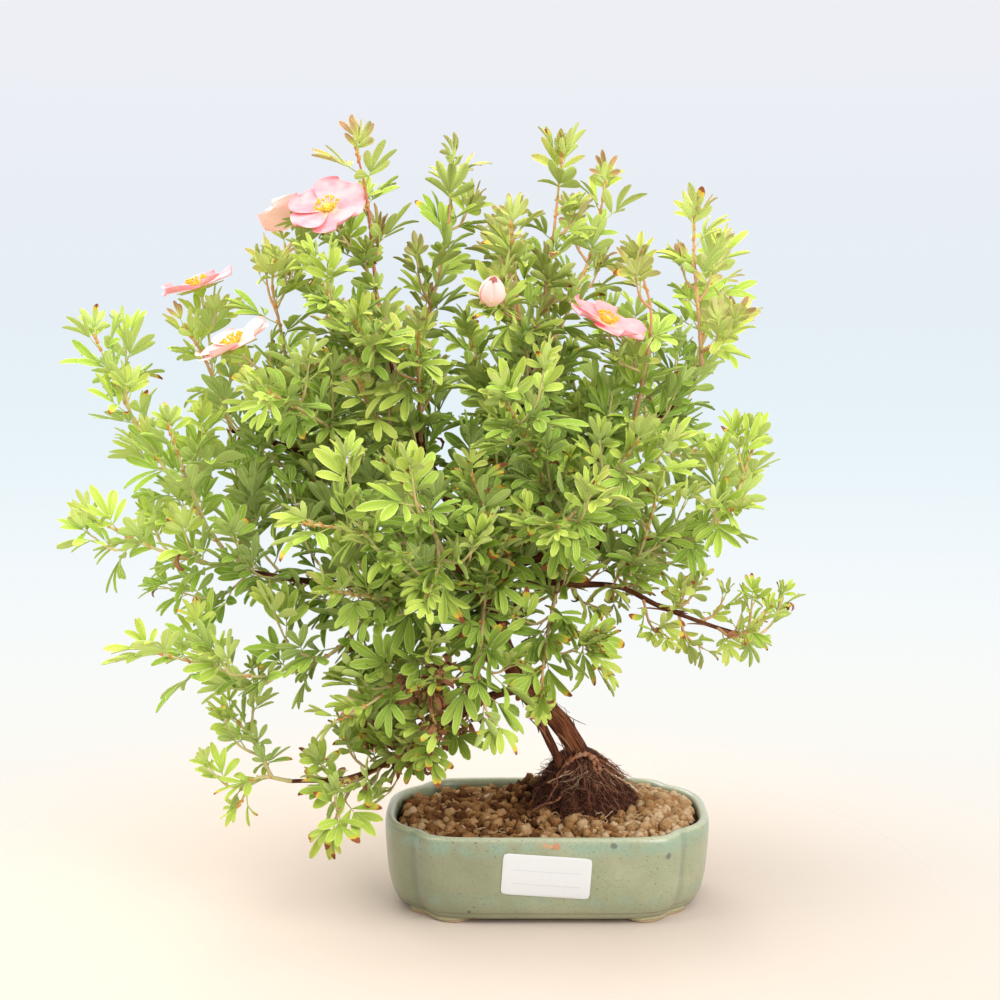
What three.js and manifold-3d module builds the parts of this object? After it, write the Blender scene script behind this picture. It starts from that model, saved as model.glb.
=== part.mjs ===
// A shrubby cinquefoil grown as a bonsai, in its glazed pot.
// Millimetres, +Z up. The pot's feet stand on z = 0, and the group is shifted sideways at the end so that
// the origin lies under the middle of the whole plant. Until then x and y are measured from the pot's middle:
// +x is the viewer's right and -y is the front.

import * as THREE from "three";
import { mergeVertices } from "three/addons/utils/BufferGeometryUtils.js";
import Module from "manifold-3d";

const wasm = await Module();
wasm.setup();

// Driving dimensions

const GAP = 0.3; // between pieces that touch

// Half length, half width and squareness of the front and back lobes and of the end lobes. The pot's outline is
// the outer one of the two at each angle. A squareness of 2 is an ellipse, and more is squarer.
const POT_LOBES = [
  [62, 49.8, 7],
  [75.8, 46, 3.2],
];
const CREASE_SHARPNESS = 120; // of the joint between the lobes
const POT_HEIGHT = 42;
const POT_FOOT_HEIGHT = 2.4;
const POT_WALL = 4.8;
const POT_FLOOR_TOP = 8.5;
const FOOT_ANGLES = [20, 31.5, 35, 47]; // each foot follows the outline round the corner at these
const FOOT_INSETS = [6.2, 17];
const DRAIN_HOLE_RADIUS = 6.5;
const DRAIN_HOLE_X = 33;

const NET_SIZE = 19;
const NET_THICKNESS = 0.9;
const NET_MESH = 2; // holes along each side

const LABEL_WIDTH = 40;
const LABEL_HEIGHT = 19.5;
const LABEL_THICKNESS = 0.6;
const LABEL_MIDDLE = [-1.2, 24.5]; // x and z
const LABEL_TILT = 4; // degrees, its right end lower

const SOIL_LEVEL = 37;
const SOIL_GRAIN = 7; // between the tops of neighbouring granules
const SOIL_RELIEF = 1.5;

const MOUND_FOOT_RADIUS = 27.5;
const MOUND_BOTTOM = 20; // sunk in the soil to here
const MOUND_MIDDLE = [19, 2];

const TRUNK_SIDES = 8;
const LIMB_SIDES = 4;
const STEM_SIDES = 3;
const STEM_RADIUS = [1.3, 0.95]; // at the base and at the tip of a young stem

const LEAFLET_LENGTH = 17;
const LEAFLET_HALF_WIDTH = 2.9;
const LEAFLET_KEEL = 0.95; // how far the edges lie under the midrib
const LEAF_STALK = 10;
const LEAF_SPACING = 26.5; // along the stem

const BLOOM_RADIUS = 18;
const PETAL_THICKNESS = 0.9;

// Solids and meshes

const root = new THREE.Group();

function solid(geometry) {
  const bare = geometry.clone();
  bare.deleteAttribute("normal");
  bare.deleteAttribute("uv");
  const merged = mergeVertices(bare, 1e-4);
  return new wasm.Manifold(
    new wasm.Mesh({
      numProp: 3,
      vertProperties: new Float32Array(merged.attributes.position.array),
      triVerts: new Uint32Array(merged.index.array),
    }),
  );
}

function facetSolid(points, faces) {
  const flat = points.flatMap((p) => (p.isVector3 ? p.toArray() : p));
  return new wasm.Manifold(
    new wasm.Mesh({
      numProp: 3,
      vertProperties: new Float32Array(flat),
      triVerts: new Uint32Array(faces.flat()),
    }),
  );
}

function geometryOf(body) {
  const mesh = body.getMesh();
  const geometry = new THREE.BufferGeometry();
  geometry.setAttribute("position", new THREE.BufferAttribute(mesh.vertProperties, mesh.numProp));
  geometry.setIndex(new THREE.BufferAttribute(mesh.triVerts, 1));
  geometry.computeVertexNormals();
  return geometry;
}

function largestBody(body) {
  return body.decompose().sort((a, b) => b.volume() - a.volume())[0];
}

const placed = []; // every solid so far with its bounding box, for the tests of what is clear

function place(body) {
  placed.push({ body, box: body.boundingBox() });
}

function boxesMeet(a, b) {
  return [0, 1, 2].every((axis) => a.min[axis] < b.max[axis] && b.min[axis] < a.max[axis]);
}

function isClear(body, except = []) {
  const box = body.boundingBox();
  const near = placed.filter((other) => !except.includes(other.body) && boxesMeet(box, other.box));
  return near.every((other) => body.intersect(other.body).isEmpty());
}

function addMesh(name, body, colour, roughness = 0.7) {
  const look = { color: colour, roughness, metalness: 0, flatShading: true };
  const mesh = new THREE.Mesh(geometryOf(body), new THREE.MeshStandardMaterial(look));
  mesh.name = name;
  root.add(mesh);
}

// A seeded draw between 0 and 1, so that every run grows the same plant

function seededDraw(seed) {
  let state = seed >>> 0;
  return () => {
    state = (state + 0x6d2b79f5) >>> 0;
    let mixed = Math.imul(state ^ (state >>> 15), state | 1);
    mixed ^= mixed + Math.imul(mixed ^ (mixed >>> 7), mixed | 61);
    return ((mixed ^ (mixed >>> 14)) >>> 0) / 4294967296;
  };
}

const vector = (point) => (point.isVector3 ? point.clone() : new THREE.Vector3(...point));
const radians = THREE.MathUtils.degToRad;
const lerp = THREE.MathUtils.lerp;

// A closed stack of rings, each a list of the same number of points, counter-clockwise seen from its far end

function ringStack(rings) {
  const count = rings[0].length;
  const points = rings.flat();
  const faces = [];
  for (let ring = 0; ring + 1 < rings.length; ring++) {
    for (let i = 0; i < count; i++) {
      const a = ring * count + i;
      const b = ring * count + ((i + 1) % count);
      faces.push([a, b, b + count], [a, b + count, a + count]);
    }
  }
  const last = (rings.length - 1) * count;
  for (let i = 1; i + 1 < count; i++) {
    faces.push([0, i + 1, i], [last, last + i, last + i + 1]);
  }
  return facetSolid(points, faces);
}

// A stem or root along a smooth curve, with a radius that changes from its base to its tip

const curveOf = (points) => new THREE.CatmullRomCurve3(points.map(vector), false, "centripetal");

function taperedStem(points, radiusAt, sides, step) {
  const curve = curveOf(points);
  const segments = Math.max(2, Math.round(curve.getLength() / step));
  const frames = curve.computeFrenetFrames(segments, false);
  const rings = [];
  for (let i = 0; i <= segments; i++) {
    const middle = curve.getPointAt(i / segments);
    const radius = radiusAt(i / segments);
    const ring = [];
    for (let side = 0; side < sides; side++) {
      const turn = (2 * Math.PI * side) / sides;
      ring.push(
        middle
          .clone()
          .addScaledVector(frames.normals[i], radius * Math.cos(turn))
          .addScaledVector(frames.binormals[i], radius * Math.sin(turn)),
      );
    }
    rings.push(ring);
  }
  return ringStack(rings);
}

// The pot: four lobes that meet in a crease at each corner, walls that draw in towards the foot

const QUARTER_ANGLES = [0, 12, 21, 28, 31.5, 34, 39, 46, 60, 75];

function outlineAngles() {
  const right = QUARTER_ANGLES;
  const top = QUARTER_ANGLES.slice(1).reverse().map((angle) => 180 - angle);
  const quarters = [...right, 90, ...top];
  return [...quarters, ...quarters.map((angle) => angle + 180)];
}

function lobeReach([halfLength, halfWidth, squareness], degrees, inset) {
  const along = Math.abs(Math.cos(radians(degrees))) / (halfLength - inset);
  const across = Math.abs(Math.sin(radians(degrees))) / (halfWidth - inset);
  return (along ** squareness + across ** squareness) ** (-1 / squareness);
}

function outlinePoint(degrees, inset) {
  const reaches = POT_LOBES.map((lobe) => lobeReach(lobe, degrees, inset));
  const longest = Math.max(...reaches);
  const sum = reaches.reduce((total, reach) => total + (reach / longest) ** CREASE_SHARPNESS, 0);
  const reach = longest * sum ** (1 / CREASE_SHARPNESS);
  return [reach * Math.cos(radians(degrees)), reach * Math.sin(radians(degrees))];
}

function potRing(inset, z) {
  return outlineAngles().map((angle) => [...outlinePoint(angle, inset), z]);
}

// Inset and height of the outer wall from the floor's edge to the rim

const POT_OUTER = [
  [6, POT_FOOT_HEIGHT],
  [4.9, POT_FOOT_HEIGHT + 1.3],
  [4.2, POT_FOOT_HEIGHT + 3.1],
  [2, 12],
  [0.8, 20],
  [0, 38.5],
  [0.5, 41],
];

const POT_INNER = [
  [1.9, POT_HEIGHT],
  [POT_WALL - 1.3, POT_HEIGHT],
  [POT_WALL - 0.3, POT_HEIGHT - 1.4],
  [POT_WALL, 34],
  [POT_WALL + 1.6, 16],
  [POT_WALL + 5, POT_FLOOR_TOP],
];

function cylinder(radius, bottom, top, x, y, sides) {
  const geometry = new THREE.CylinderGeometry(radius, radius, top - bottom, sides);
  geometry.rotateX(Math.PI / 2);
  geometry.translate(x, y, (top + bottom) / 2);
  return solid(geometry);
}

function foot(angles) {
  const [outer, inner] = FOOT_INSETS;
  const outside = angles.map((angle) => outlinePoint(angle, outer));
  const inside = angles.map((angle) => outlinePoint(angle, inner)).reverse();
  const outline = [...outside, ...inside];
  const narrow = 0.985;
  const bottom = outline.map(([x, y]) => [x * narrow, y * narrow, 0]);
  const top = outline.map(([x, y]) => [x, y, POT_FOOT_HEIGHT + 1.5]);
  return ringStack([bottom, top]);
}

function pot() {
  const outer = POT_OUTER.map(([inset, z]) => potRing(inset, z));
  const inner = POT_INNER.map(([inset, z]) => potRing(inset, z));
  let body = ringStack([...outer, ...inner]);
  const mirrored = FOOT_ANGLES.map((angle) => -angle).reverse();
  const feet = [
    foot(FOOT_ANGLES),
    foot(mirrored.map((angle) => 180 + angle)),
    foot(FOOT_ANGLES.map((angle) => 180 + angle)),
    foot(mirrored),
  ];
  body = wasm.Manifold.union([body, ...feet]);
  for (const x of [-DRAIN_HOLE_X, DRAIN_HOLE_X]) {
    body = body.subtract(cylinder(DRAIN_HOLE_RADIUS, 0, POT_HEIGHT, x, 0, 14));
  }
  return body;
}

function drainNet(x) {
  const plate = new THREE.BoxGeometry(NET_SIZE, NET_SIZE, NET_THICKNESS);
  const z = POT_FLOOR_TOP + GAP + NET_THICKNESS / 2;
  let body = solid(plate.translate(x, 0, z));
  const pitch = NET_SIZE / (NET_MESH + 0.4);
  for (let column = 0; column < NET_MESH; column++) {
    for (let row = 0; row < NET_MESH; row++) {
      const hole = new THREE.BoxGeometry(pitch * 0.7, pitch * 0.7, NET_THICKNESS * 3);
      const offset = (NET_MESH - 1) / 2;
      hole.translate(x + (column - offset) * pitch, (row - offset) * pitch, z);
      body = body.subtract(solid(hole));
    }
  }
  return body;
}

// The label: a thin sheet bent to the front wall, with rounded corners

function wallInset(z) {
  const upper = POT_OUTER.findIndex(([, height]) => height >= z);
  const [insetBelow, below] = POT_OUTER[upper - 1];
  const [insetAbove, above] = POT_OUTER[upper];
  return lerp(insetBelow, insetAbove, (z - below) / (above - below));
}

function wallDepth(x, z) {
  const inset = wallInset(z);
  const [halfLength, halfWidth, squareness] = POT_LOBES[0];
  const share = (Math.abs(x) / (halfLength - inset)) ** squareness;
  return (halfWidth - inset) * (1 - share) ** (1 / squareness);
}

function label() {
  const columns = 4;
  const rows = 3;
  const corner = 0.985; // draws the corners in, which rounds them
  const tilt = radians(-LABEL_TILT);
  const points = [];
  for (const offset of [GAP + LABEL_THICKNESS, GAP]) {
    for (let row = 0; row <= rows; row++) {
      for (let column = 0; column <= columns; column++) {
        const isCorner = (row === 0 || row === rows) && (column === 0 || column === columns);
        const pull = isCorner ? corner : 1;
        const u = (column / columns - 0.5) * LABEL_WIDTH * pull;
        const v = (row / rows - 0.5) * LABEL_HEIGHT * pull;
        const x = LABEL_MIDDLE[0] + u * Math.cos(tilt) - v * Math.sin(tilt);
        const z = LABEL_MIDDLE[1] + u * Math.sin(tilt) + v * Math.cos(tilt);
        points.push([x, -wallDepth(x, z) - offset, z]);
      }
    }
  }
  return sheetSolid(points, columns, rows);
}

// Two grids of points, front and back, closed round their edge

function sheetSolid(points, columns, rows) {
  const width = columns + 1;
  const back = width * (rows + 1);
  const faces = [];
  const at = (column, row) => row * width + column;
  for (let row = 0; row < rows; row++) {
    for (let column = 0; column < columns; column++) {
      const a = at(column, row);
      const b = at(column + 1, row);
      const c = at(column + 1, row + 1);
      const d = at(column, row + 1);
      faces.push([a, b, c], [a, c, d]);
      faces.push([back + c, back + b, back + a], [back + d, back + c, back + a]);
    }
  }
  const wall = (a, b) => faces.push([b, a, back + a], [b, back + a, back + b]);
  for (let column = 0; column < columns; column++) {
    wall(at(column, 0), at(column + 1, 0));
    wall(at(column + 1, rows), at(column, rows));
  }
  for (let row = 0; row < rows; row++) {
    wall(at(columns, row), at(columns, row + 1));
    wall(at(0, row + 1), at(0, row));
  }
  return facetSolid(points, faces);
}

// The soil: its top is raised into granules, each a rounded cell round a jittered point of a grid

function cellNoise(x, y) {
  const column = Math.floor(x / SOIL_GRAIN);
  const row = Math.floor(y / SOIL_GRAIN);
  let nearest = Infinity;
  for (let i = column - 1; i <= column + 1; i++) {
    for (let j = row - 1; j <= row + 1; j++) {
      const draw = seededDraw(i * 7919 + j * 104729 + 17);
      const distance = Math.hypot((i + draw()) * SOIL_GRAIN - x, (j + draw()) * SOIL_GRAIN - y);
      nearest = Math.min(nearest, distance);
    }
  }
  return 1 - nearest / (SOIL_GRAIN * 0.75);
}

function soilHeight(x, y) {
  const toMound = Math.hypot((x - MOUND_MIDDLE[0]) / 1.15, y - MOUND_MIDDLE[1]);
  const heap = 6 * Math.exp(-(((toMound - 20) / 16) ** 2));
  const backLeft = 7 * Math.exp(-(((x + 6) / 16) ** 2) - ((y - 20) / 12) ** 2);
  return SOIL_LEVEL + heap + backLeft + SOIL_RELIEF * cellNoise(x, y);
}

function soil() {
  const inset = POT_WALL + GAP + 0.1;
  const shares = [1, 0.92, 0.82, 0.72, 0.62, 0.52, 0.42];
  const floor = POT_FLOOR_TOP + NET_THICKNESS + 2 * GAP;
  const bottom = potRing(POT_WALL + 5 + GAP + 0.1, floor);
  const side = potRing(POT_WALL + 1.6 + GAP + 0.1, 16);
  const rings = [bottom, side];
  for (const share of shares) {
    rings.push(
      potRing(inset, 0).map(([x, y]) => {
        const px = x * share;
        const py = y * share;
        return [px, py, share === 1 ? SOIL_LEVEL - 2.6 : soilHeight(px, py)];
      }),
    );
  }
  const hole = cylinder(MOUND_FOOT_RADIUS + GAP, MOUND_BOTTOM - GAP, 90, ...MOUND_MIDDLE, 28);
  return ringStack(rings).subtract(hole);
}

// The root mound: a steep cone of matted roots, ridged all round, with thicker roots lying on it

const MOUND_PROFILE = [
  // radius, height, how far the middle leans to the left, depth of the ridges
  [26.5, MOUND_BOTTOM, 0, 0],
  [MOUND_FOOT_RADIUS, 34, 0, 0],
  [27, 40, 0, 0],
  [24.5, 46, 0.6, 0.07],
  [20.5, 52, 1.6, 0.09],
  [15.5, 59, 2.6, 0.1],
  [11.5, 64.5, 3.4, 0.08],
  [8, 68, 4, 0.05],
];
const MOUND_SIDES = 22;

const SURFACE_ROOTS = [
  [[20, 2, 66], [27, -6, 62], [35, -12, 52], [40, -11, 46]],
  [[12, -4, 66], [6, -13, 60], [1, -19, 50], [-1, -17, 46]],
  [[14, -3, 68], [18, -12, 62], [24, -17, 53], [25, -20, 46]],
  [[8, 2, 66], [0, 8, 58], [-4, 12, 48], [-3, 12, 46]],
  [[18, 6, 67], [24, 15, 60], [30, 20, 50], [32, 19, 46]],
  [[13, 5, 66], [12, 16, 58], [12, 23, 48], [12, 23, 46]],
];

function rootMound(trunkClearance) {
  const rings = MOUND_PROFILE.map(([radius, z, lean, ridge]) => {
    const ring = [];
    for (let i = 0; i < MOUND_SIDES; i++) {
      const angle = (2 * Math.PI * i) / MOUND_SIDES;
      const wave = Math.sin(7 * angle + z * 0.05) + 0.8 * Math.sin(13 * angle - z * 0.08);
      const reach = radius * (1 + ridge * wave);
      ring.push([
        MOUND_MIDDLE[0] - lean + reach * Math.cos(angle),
        MOUND_MIDDLE[1] + reach * Math.sin(angle),
        z,
      ]);
    }
    return ring;
  });
  const roots = SURFACE_ROOTS.map((points) => taperedStem(points, (t) => lerp(1.9, 0.9, t), 4, 9));
  return wasm.Manifold.union([ringStack(rings), ...roots]).subtract(trunkClearance);
}

// The woody frame: two stems that join, and the limbs that carry the young shoots.
// Each line's points run from its root inside the older wood to its end.

const TRUNK = [
  [17, 2, 50], [14, 0, 70], [7, 0, 83], [-3, 0, 94], [-12, 0, 105],
  [-20, 1, 120], [-24, 2, 138], [-22, 3, 158], [-18, 4, 180],
];
const SIDE_STEM = [[8, -4, 52], [5, -4, 66], [-1, -4, 78], [-8, -3, 90], [-14, -1, 103]];

const LIMBS = {
  crown_left: [[-23, 2, 140], [-38, 1, 172], [-54, 0, 205], [-68, -1, 238], [-76, 0, 262]],
  upper_left: [[-30, 1, 156], [-60, 8, 182], [-92, 12, 200], [-122, 10, 212], [-146, 5, 220]],
  left: [[-18, 1, 118], [-45, -6, 137], [-78, -12, 149], [-112, -14, 153], [-142, -13, 158]],
  low_left: [[-8, 0, 100], [-28, -6, 96], [-47, -10, 84], [-68, -15, 71], [-92, -18, 61], [-118, -20, 60]],
  crown_mid: [[-18, 4, 174], [-15, 6, 205], [-10, 6, 235], [-6, 4, 262]],
  right_upper: [[-19, 4, 172], [5, 3, 195], [32, 0, 214], [56, -3, 232], [70, -4, 250]],
  right_mid: [[-22, 3, 156], [12, 5, 164], [44, 6, 168], [70, 6, 173]],
  right_low: [
    [-23, 2, 144], [-8, 0, 150], [10, -2, 149], [33, -3, 148], [52, -4, 139], [76, -5, 130], [89, -5, 126],
  ],
  front: [[-22, 2, 132], [-28, -22, 146], [-36, -46, 160], [-46, -66, 174]],
  front_right: [[-21, 3, 162], [-2, -20, 178], [14, -42, 192]],
  back: [[-23, 3, 148], [-20, 28, 168], [-16, 52, 186], [-12, 72, 200]],
  back_left: [[-23, 2, 134], [-50, 26, 156], [-76, 48, 170], [-96, 62, 180]],
  back_right: [[-20, 4, 168], [4, 26, 186], [28, 46, 202], [46, 58, 212]],
};
const LIMB_RADIUS = [2.7, 1.3];

function trunkSolids(extra) {
  const swelling = (t) => 0.9 * Math.exp(-(((t - 0.42) / 0.12) ** 2)); // where the two stems join
  const main = taperedStem(TRUNK, (t) => lerp(5, 3.4, t) + swelling(t) + extra, TRUNK_SIDES, 14);
  const side = taperedStem(SIDE_STEM, () => 2.4 + extra, 6, 14);
  return [main, side];
}

function limbSolids(extra) {
  return Object.values(LIMBS).map((points) => {
    const [before, last] = points.slice(-2).map(vector);
    const end = last.clone().add(last.clone().sub(before).setLength(extra));
    const longer = [...points.slice(0, -1), end];
    return taperedStem(longer, (t) => lerp(...LIMB_RADIUS, t) + extra, LIMB_SIDES, 26);
  });
}

function woodyFrame(extra) {
  return wasm.Manifold.union([...trunkSolids(extra), ...limbSolids(extra)]);
}

// One leaf of five or three leaflets on its stalk. The stalk's root lies at the origin and the leaf runs along
// +Y with its upper face towards +Z. Each leaflet is a keeled blade: its midrib runs from the hub to the tip,
// and its edges lie lower. Blades share the hub's points, so that the whole leaf is one closed surface.

// Each leaflet's direction, in degrees from +Y, and its share of the full length
const FIVE_LEAFLETS = [[80, 0.8], [36, 0.96], [0, 1.06], [-36, 0.96], [-80, 0.8]];
const THREE_LEAFLETS = [[52, 0.9], [0, 1.06], [-52, 0.9]];

function leaf(leaflets, size, stalk, fold, droop, margin) {
  const length = LEAFLET_LENGTH * size + margin;
  const halfWidth = LEAFLET_HALF_WIDTH * size + margin;
  const thick = 0.5 + margin;
  const hub = new THREE.Vector3(0, stalk, 0);
  const towards = (degrees, reach, z) => {
    const turn = radians(degrees);
    return new THREE.Vector3(Math.sin(turn) * reach, stalk + Math.cos(turn) * reach, z);
  };
  const points = [hub.clone().setZ(thick), hub.clone().setZ(-thick)];
  const hubTop = 0;
  const hubBottom = 1;
  const valleys = [];
  const rights = [];
  const tips = [];
  const lefts = [];
  const add = (list, point) => list.push(points.push(point) - 1);
  leaflets.forEach(([angle, share], i) => {
    const reach = length * share;
    const lift = Math.abs(Math.sin(radians(angle))) * reach * fold;
    const tipHeight = lift - droop * reach;
    const widest = reach * 0.55;
    const spread = THREE.MathUtils.radToDeg(Math.atan2(halfWidth, widest));
    const shoulder = Math.hypot(halfWidth, widest);
    const edge = tipHeight * 0.55 - LEAFLET_KEEL + 0.35 - margin;
    const before = i === 0 ? angle + 55 : (angle + leaflets[i - 1][0]) / 2;
    add(valleys, towards(before, 1.5 + margin, -0.1));
    add(rights, towards(angle + spread, shoulder, edge));
    add(tips, towards(angle, reach, tipHeight));
    add(lefts, towards(angle - spread, shoulder, edge));
  });
  add(valleys, towards(leaflets.at(-1)[0] - 55, 1.5 + margin, -0.1));
  const faces = [];
  leaflets.forEach((_, i) => {
    const [valley, right, tip, left, next] = [valleys[i], rights[i], tips[i], lefts[i], valleys[i + 1]];
    faces.push([hubTop, valley, right], [hubTop, right, tip]);
    faces.push([hubTop, tip, left], [hubTop, left, next]);
    faces.push([hubBottom, right, valley], [hubBottom, left, right]);
    faces.push([left, tip, right], [hubBottom, next, left]);
  });
  const rootWidth = 0.42 + margin;
  const low = points.push(new THREE.Vector3(-rootWidth, 0, -rootWidth * 0.6)) - 1;
  const lowRight = points.push(new THREE.Vector3(rootWidth, 0, -rootWidth * 0.6)) - 1;
  const high = points.push(new THREE.Vector3(0, 0, rootWidth)) - 1;
  const first = valleys[0];
  const last = valleys.at(-1);
  faces.push([hubTop, last, high], [last, low, high], [last, hubBottom, low]);
  faces.push([hubBottom, first, lowRight], [hubBottom, lowRight, low]);
  faces.push([first, hubTop, high], [first, high, lowRight], [low, lowRight, high]);
  return facetSolid(points, faces);
}

// Turns and moves a solid built round the origin: its +Y goes to forward and its +Z close to upward

function oriented(body, origin, forward, upward) {
  const y = forward.clone().normalize();
  const x = y.clone().cross(upward).normalize();
  const z = x.clone().cross(y);
  const matrix = new THREE.Matrix4().makeBasis(x, y, z).setPosition(origin);
  return body.transform(matrix.elements);
}

// The young shoots. Each starts on a limb, at a share of its length, and runs through its points. Side shoots
// start on the shoot itself, at a share of its length. Colours follow the age of the leaves, and leafSize
// makes a spray's leaves larger or smaller than the rest.

const GREEN = 0x7d9a3c;
const YOUNG = 0x9a9a45;
const BRONZE = 0x8f7a48;
const YELLOWED = 0xa9a14a;

const SPRAYS = [
  {
    name: "crown_a",
    limb: "crown_left",
    from: 1,
    to: [[-79, 3, 290], [-83, 7, 328], [-88, 10, 350]],
    colour: BRONZE,
    flowers: ["a"],
  },
  {
    name: "crown_b",
    limb: "crown_left",
    from: 0.75,
    to: [[-58, 16, 264], [-50, 28, 294], [-45, 37, 326], [-44, 40, 342]],
    colour: YOUNG,
  },
  {
    name: "crown_c",
    limb: "crown_mid",
    from: 0.82,
    to: [[-13, -8, 272], [-16, -14, 300], [-17, -16, 314]],
    side: [{ from: 0.4, to: [[-20, -24, 276], [-24, -34, 282]] }],
    colour: YOUNG,
  },
  {
    name: "crown_d",
    limb: "crown_mid",
    from: 1,
    to: [[0, 6, 290], [4, 6, 324], [6, 5, 346]],
    colour: YOUNG,
  },
  {
    name: "crown_e",
    limb: "crown_mid",
    from: 0.8,
    to: [[6, 24, 266], [20, 38, 298], [26, 43, 322], [28, 45, 334]],
    colour: YOUNG,
  },
  {
    name: "crown_f",
    limb: "right_upper",
    from: 0.62,
    to: [[42, -20, 246], [44, -36, 276], [38, -42, 298]],
    colour: YOUNG,
    flowers: ["e"],
  },
  {
    name: "crown_g",
    limb: "right_upper",
    from: 1,
    to: [[69, 4, 274], [67, 9, 300], [67, 10, 320]],
    side: [{ from: 0.1, to: [[78, -14, 262], [83, -22, 272]] }],
    colour: YOUNG,
  },
  {
    name: "crown_back",
    limb: "crown_mid",
    from: 0.9,
    to: [[-14, 34, 270], [-18, 58, 296], [-20, 68, 314]],
    colour: YOUNG,
  },
  {
    name: "right_a",
    limb: "right_upper",
    from: 0.88,
    to: [[72, 20, 258], [78, 34, 284], [83, 40, 304]],
    colour: YOUNG,
  },
  {
    name: "right_b",
    limb: "right_mid",
    from: 1,
    to: [[84, 5, 180], [91, 5, 200], [96, 5, 214]],
    side: [{ from: 0.15, to: [[78, -14, 184], [83, -28, 188]] }],
    colour: GREEN,
  },
  {
    name: "right_c",
    limb: "right_low",
    from: 0.5,
    to: [[40, -16, 162], [46, -26, 184], [48, -30, 196]],
    colour: GREEN,
  },
  {
    name: "right_d",
    limb: "right_low",
    from: 1,
    to: [[95, -8, 130], [100, -10, 137]],
    side: [{ from: 0.2, to: [[97, 6, 121], [101, 14, 119]] }],
    colour: GREEN,
    leafSize: 0.72,
  },
  {
    name: "left_a",
    limb: "upper_left",
    from: 0.78,
    to: [[-118, 0, 240], [-121, -8, 266], [-124, -14, 288], [-122, -18, 298]],
    side: [{ from: 0.06, to: [[-106, 24, 230], [-102, 36, 250], [-100, 42, 266]] }],
    colour: YOUNG,
    flowers: ["b", "d"],
  },
  {
    name: "left_b",
    limb: "upper_left",
    from: 1,
    to: [[-153, 10, 238], [-161, 14, 256], [-168, 15, 266]],
    colour: YOUNG,
    flowers: ["c"],
  },
  {
    name: "left_c",
    limb: "left",
    from: 1,
    to: [[-163, -10, 187], [-181, -8, 213], [-194, -6, 236], [-206, -5, 264]],
    side: [{ from: 0.2, to: [[-162, -28, 202], [-168, -38, 226]] }],
    colour: GREEN,
  },
  {
    name: "left_d",
    limb: "left",
    from: 0.95,
    to: [[-162, -22, 164], [-184, -24, 172], [-205, -26, 184]],
    side: [{ from: 0.1, to: [[-140, -4, 178], [-136, -2, 196], [-134, -2, 210]] }],
    colour: GREEN,
  },
  {
    name: "left_e",
    limb: "left",
    from: 0.5,
    to: [[-96, -30, 124], [-126, -40, 114], [-156, -44, 121], [-180, -46, 128]],
    side: [{ from: 0.04, to: [[-92, -10, 172], [-104, -4, 190], [-110, -2, 204]] }],
    colour: YELLOWED,
    leafSize: 1.15,
  },
  {
    name: "low_left_a",
    limb: "low_left",
    from: 1,
    to: [[-134, -22, 62], [-142, -26, 50]],
    side: [{ from: 0.3, to: [[-136, -12, 76], [-148, -8, 90]] }],
    colour: YELLOWED,
  },
  {
    name: "low_left_b",
    limb: "low_left",
    from: 0.75,
    to: [[-93, -30, 54], [-97, -40, 46]],
    colour: YELLOWED,
  },
  {
    name: "low_left_c",
    limb: "low_left",
    from: 0.5,
    to: [[-66, 6, 82], [-76, 18, 92]],
    colour: YELLOWED,
    flowers: ["f"],
  },
  {
    name: "low_left_d",
    limb: "low_left",
    from: 0.36,
    to: [[-48, -28, 86], [-53, -44, 80]],
    colour: YELLOWED,
  },
  {
    name: "front_a",
    limb: "upper_left",
    from: 0.6,
    to: [[-98, -18, 222], [-111, -48, 236], [-119, -74, 244]],
    side: [{ from: 0.04, to: [[-90, 26, 220], [-84, 34, 236], [-82, 38, 250]] }],
    colour: GREEN,
  },
  {
    name: "front_b",
    limb: "front",
    from: 0.86,
    to: [[-70, -80, 184], [-88, -90, 189], [-102, -98, 192]],
    colour: GREEN,
  },
  {
    name: "front_c",
    limb: "front",
    from: 1,
    to: [[-53, -82, 192], [-64, -96, 212]],
    side: [{ from: 0.2, to: [[-48, -82, 172], [-52, -96, 162]] }],
    colour: GREEN,
  },
  {
    name: "front_d",
    limb: "front_right",
    from: 0.65,
    to: [[-6, -50, 212], [-14, -66, 230], [-21, -80, 242]],
    colour: GREEN,
  },
  {
    name: "front_e",
    limb: "front_right",
    from: 1,
    to: [[8, -64, 190], [2, -84, 188]],
    side: [{ from: 0.15, to: [[26, -52, 206], [37, -61, 222]] }],
    colour: GREEN,
  },
  {
    name: "front_f",
    limb: "front",
    from: 0.4,
    to: [[-30, -48, 136], [-31, -62, 116], [-26, -68, 100]],
    side: [{ from: 0.05, to: [[-24, -50, 172], [-29, -60, 192], [-34, -64, 208]] }],
    colour: YELLOWED,
  },
  {
    name: "front_g",
    limb: "right_low",
    from: 0.25,
    to: [[2, -22, 142], [-2, -42, 126], [-4, -50, 108]],
    side: [{ from: 0.35, to: [[14, -26, 130], [22, -30, 116]] }],
    colour: YELLOWED,
  },
  {
    name: "front_h",
    limb: "left",
    from: 0.35,
    to: [[-60, -32, 146], [-80, -58, 154], [-94, -76, 160]],
    colour: GREEN,
  },
  {
    name: "front_i",
    limb: "crown_left",
    from: 0.62,
    to: [[-58, -20, 238], [-58, -38, 256], [-57, -50, 268]],
    side: [{ from: 0.12, to: [[-70, -18, 222], [-80, -30, 234], [-84, -36, 246]] }],
    colour: YOUNG,
  },
  {
    name: "front_j",
    limb: "left",
    from: 0.28,
    to: [[-58, -30, 122], [-76, -46, 106], [-92, -54, 98]],
    side: [{ from: 0.3, to: [[-54, -46, 108], [-50, -60, 96]] }],
    colour: GREEN,
  },
  {
    name: "back_a",
    limb: "back_left",
    from: 1,
    to: [[-104, 76, 206], [-112, 86, 230]],
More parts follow.
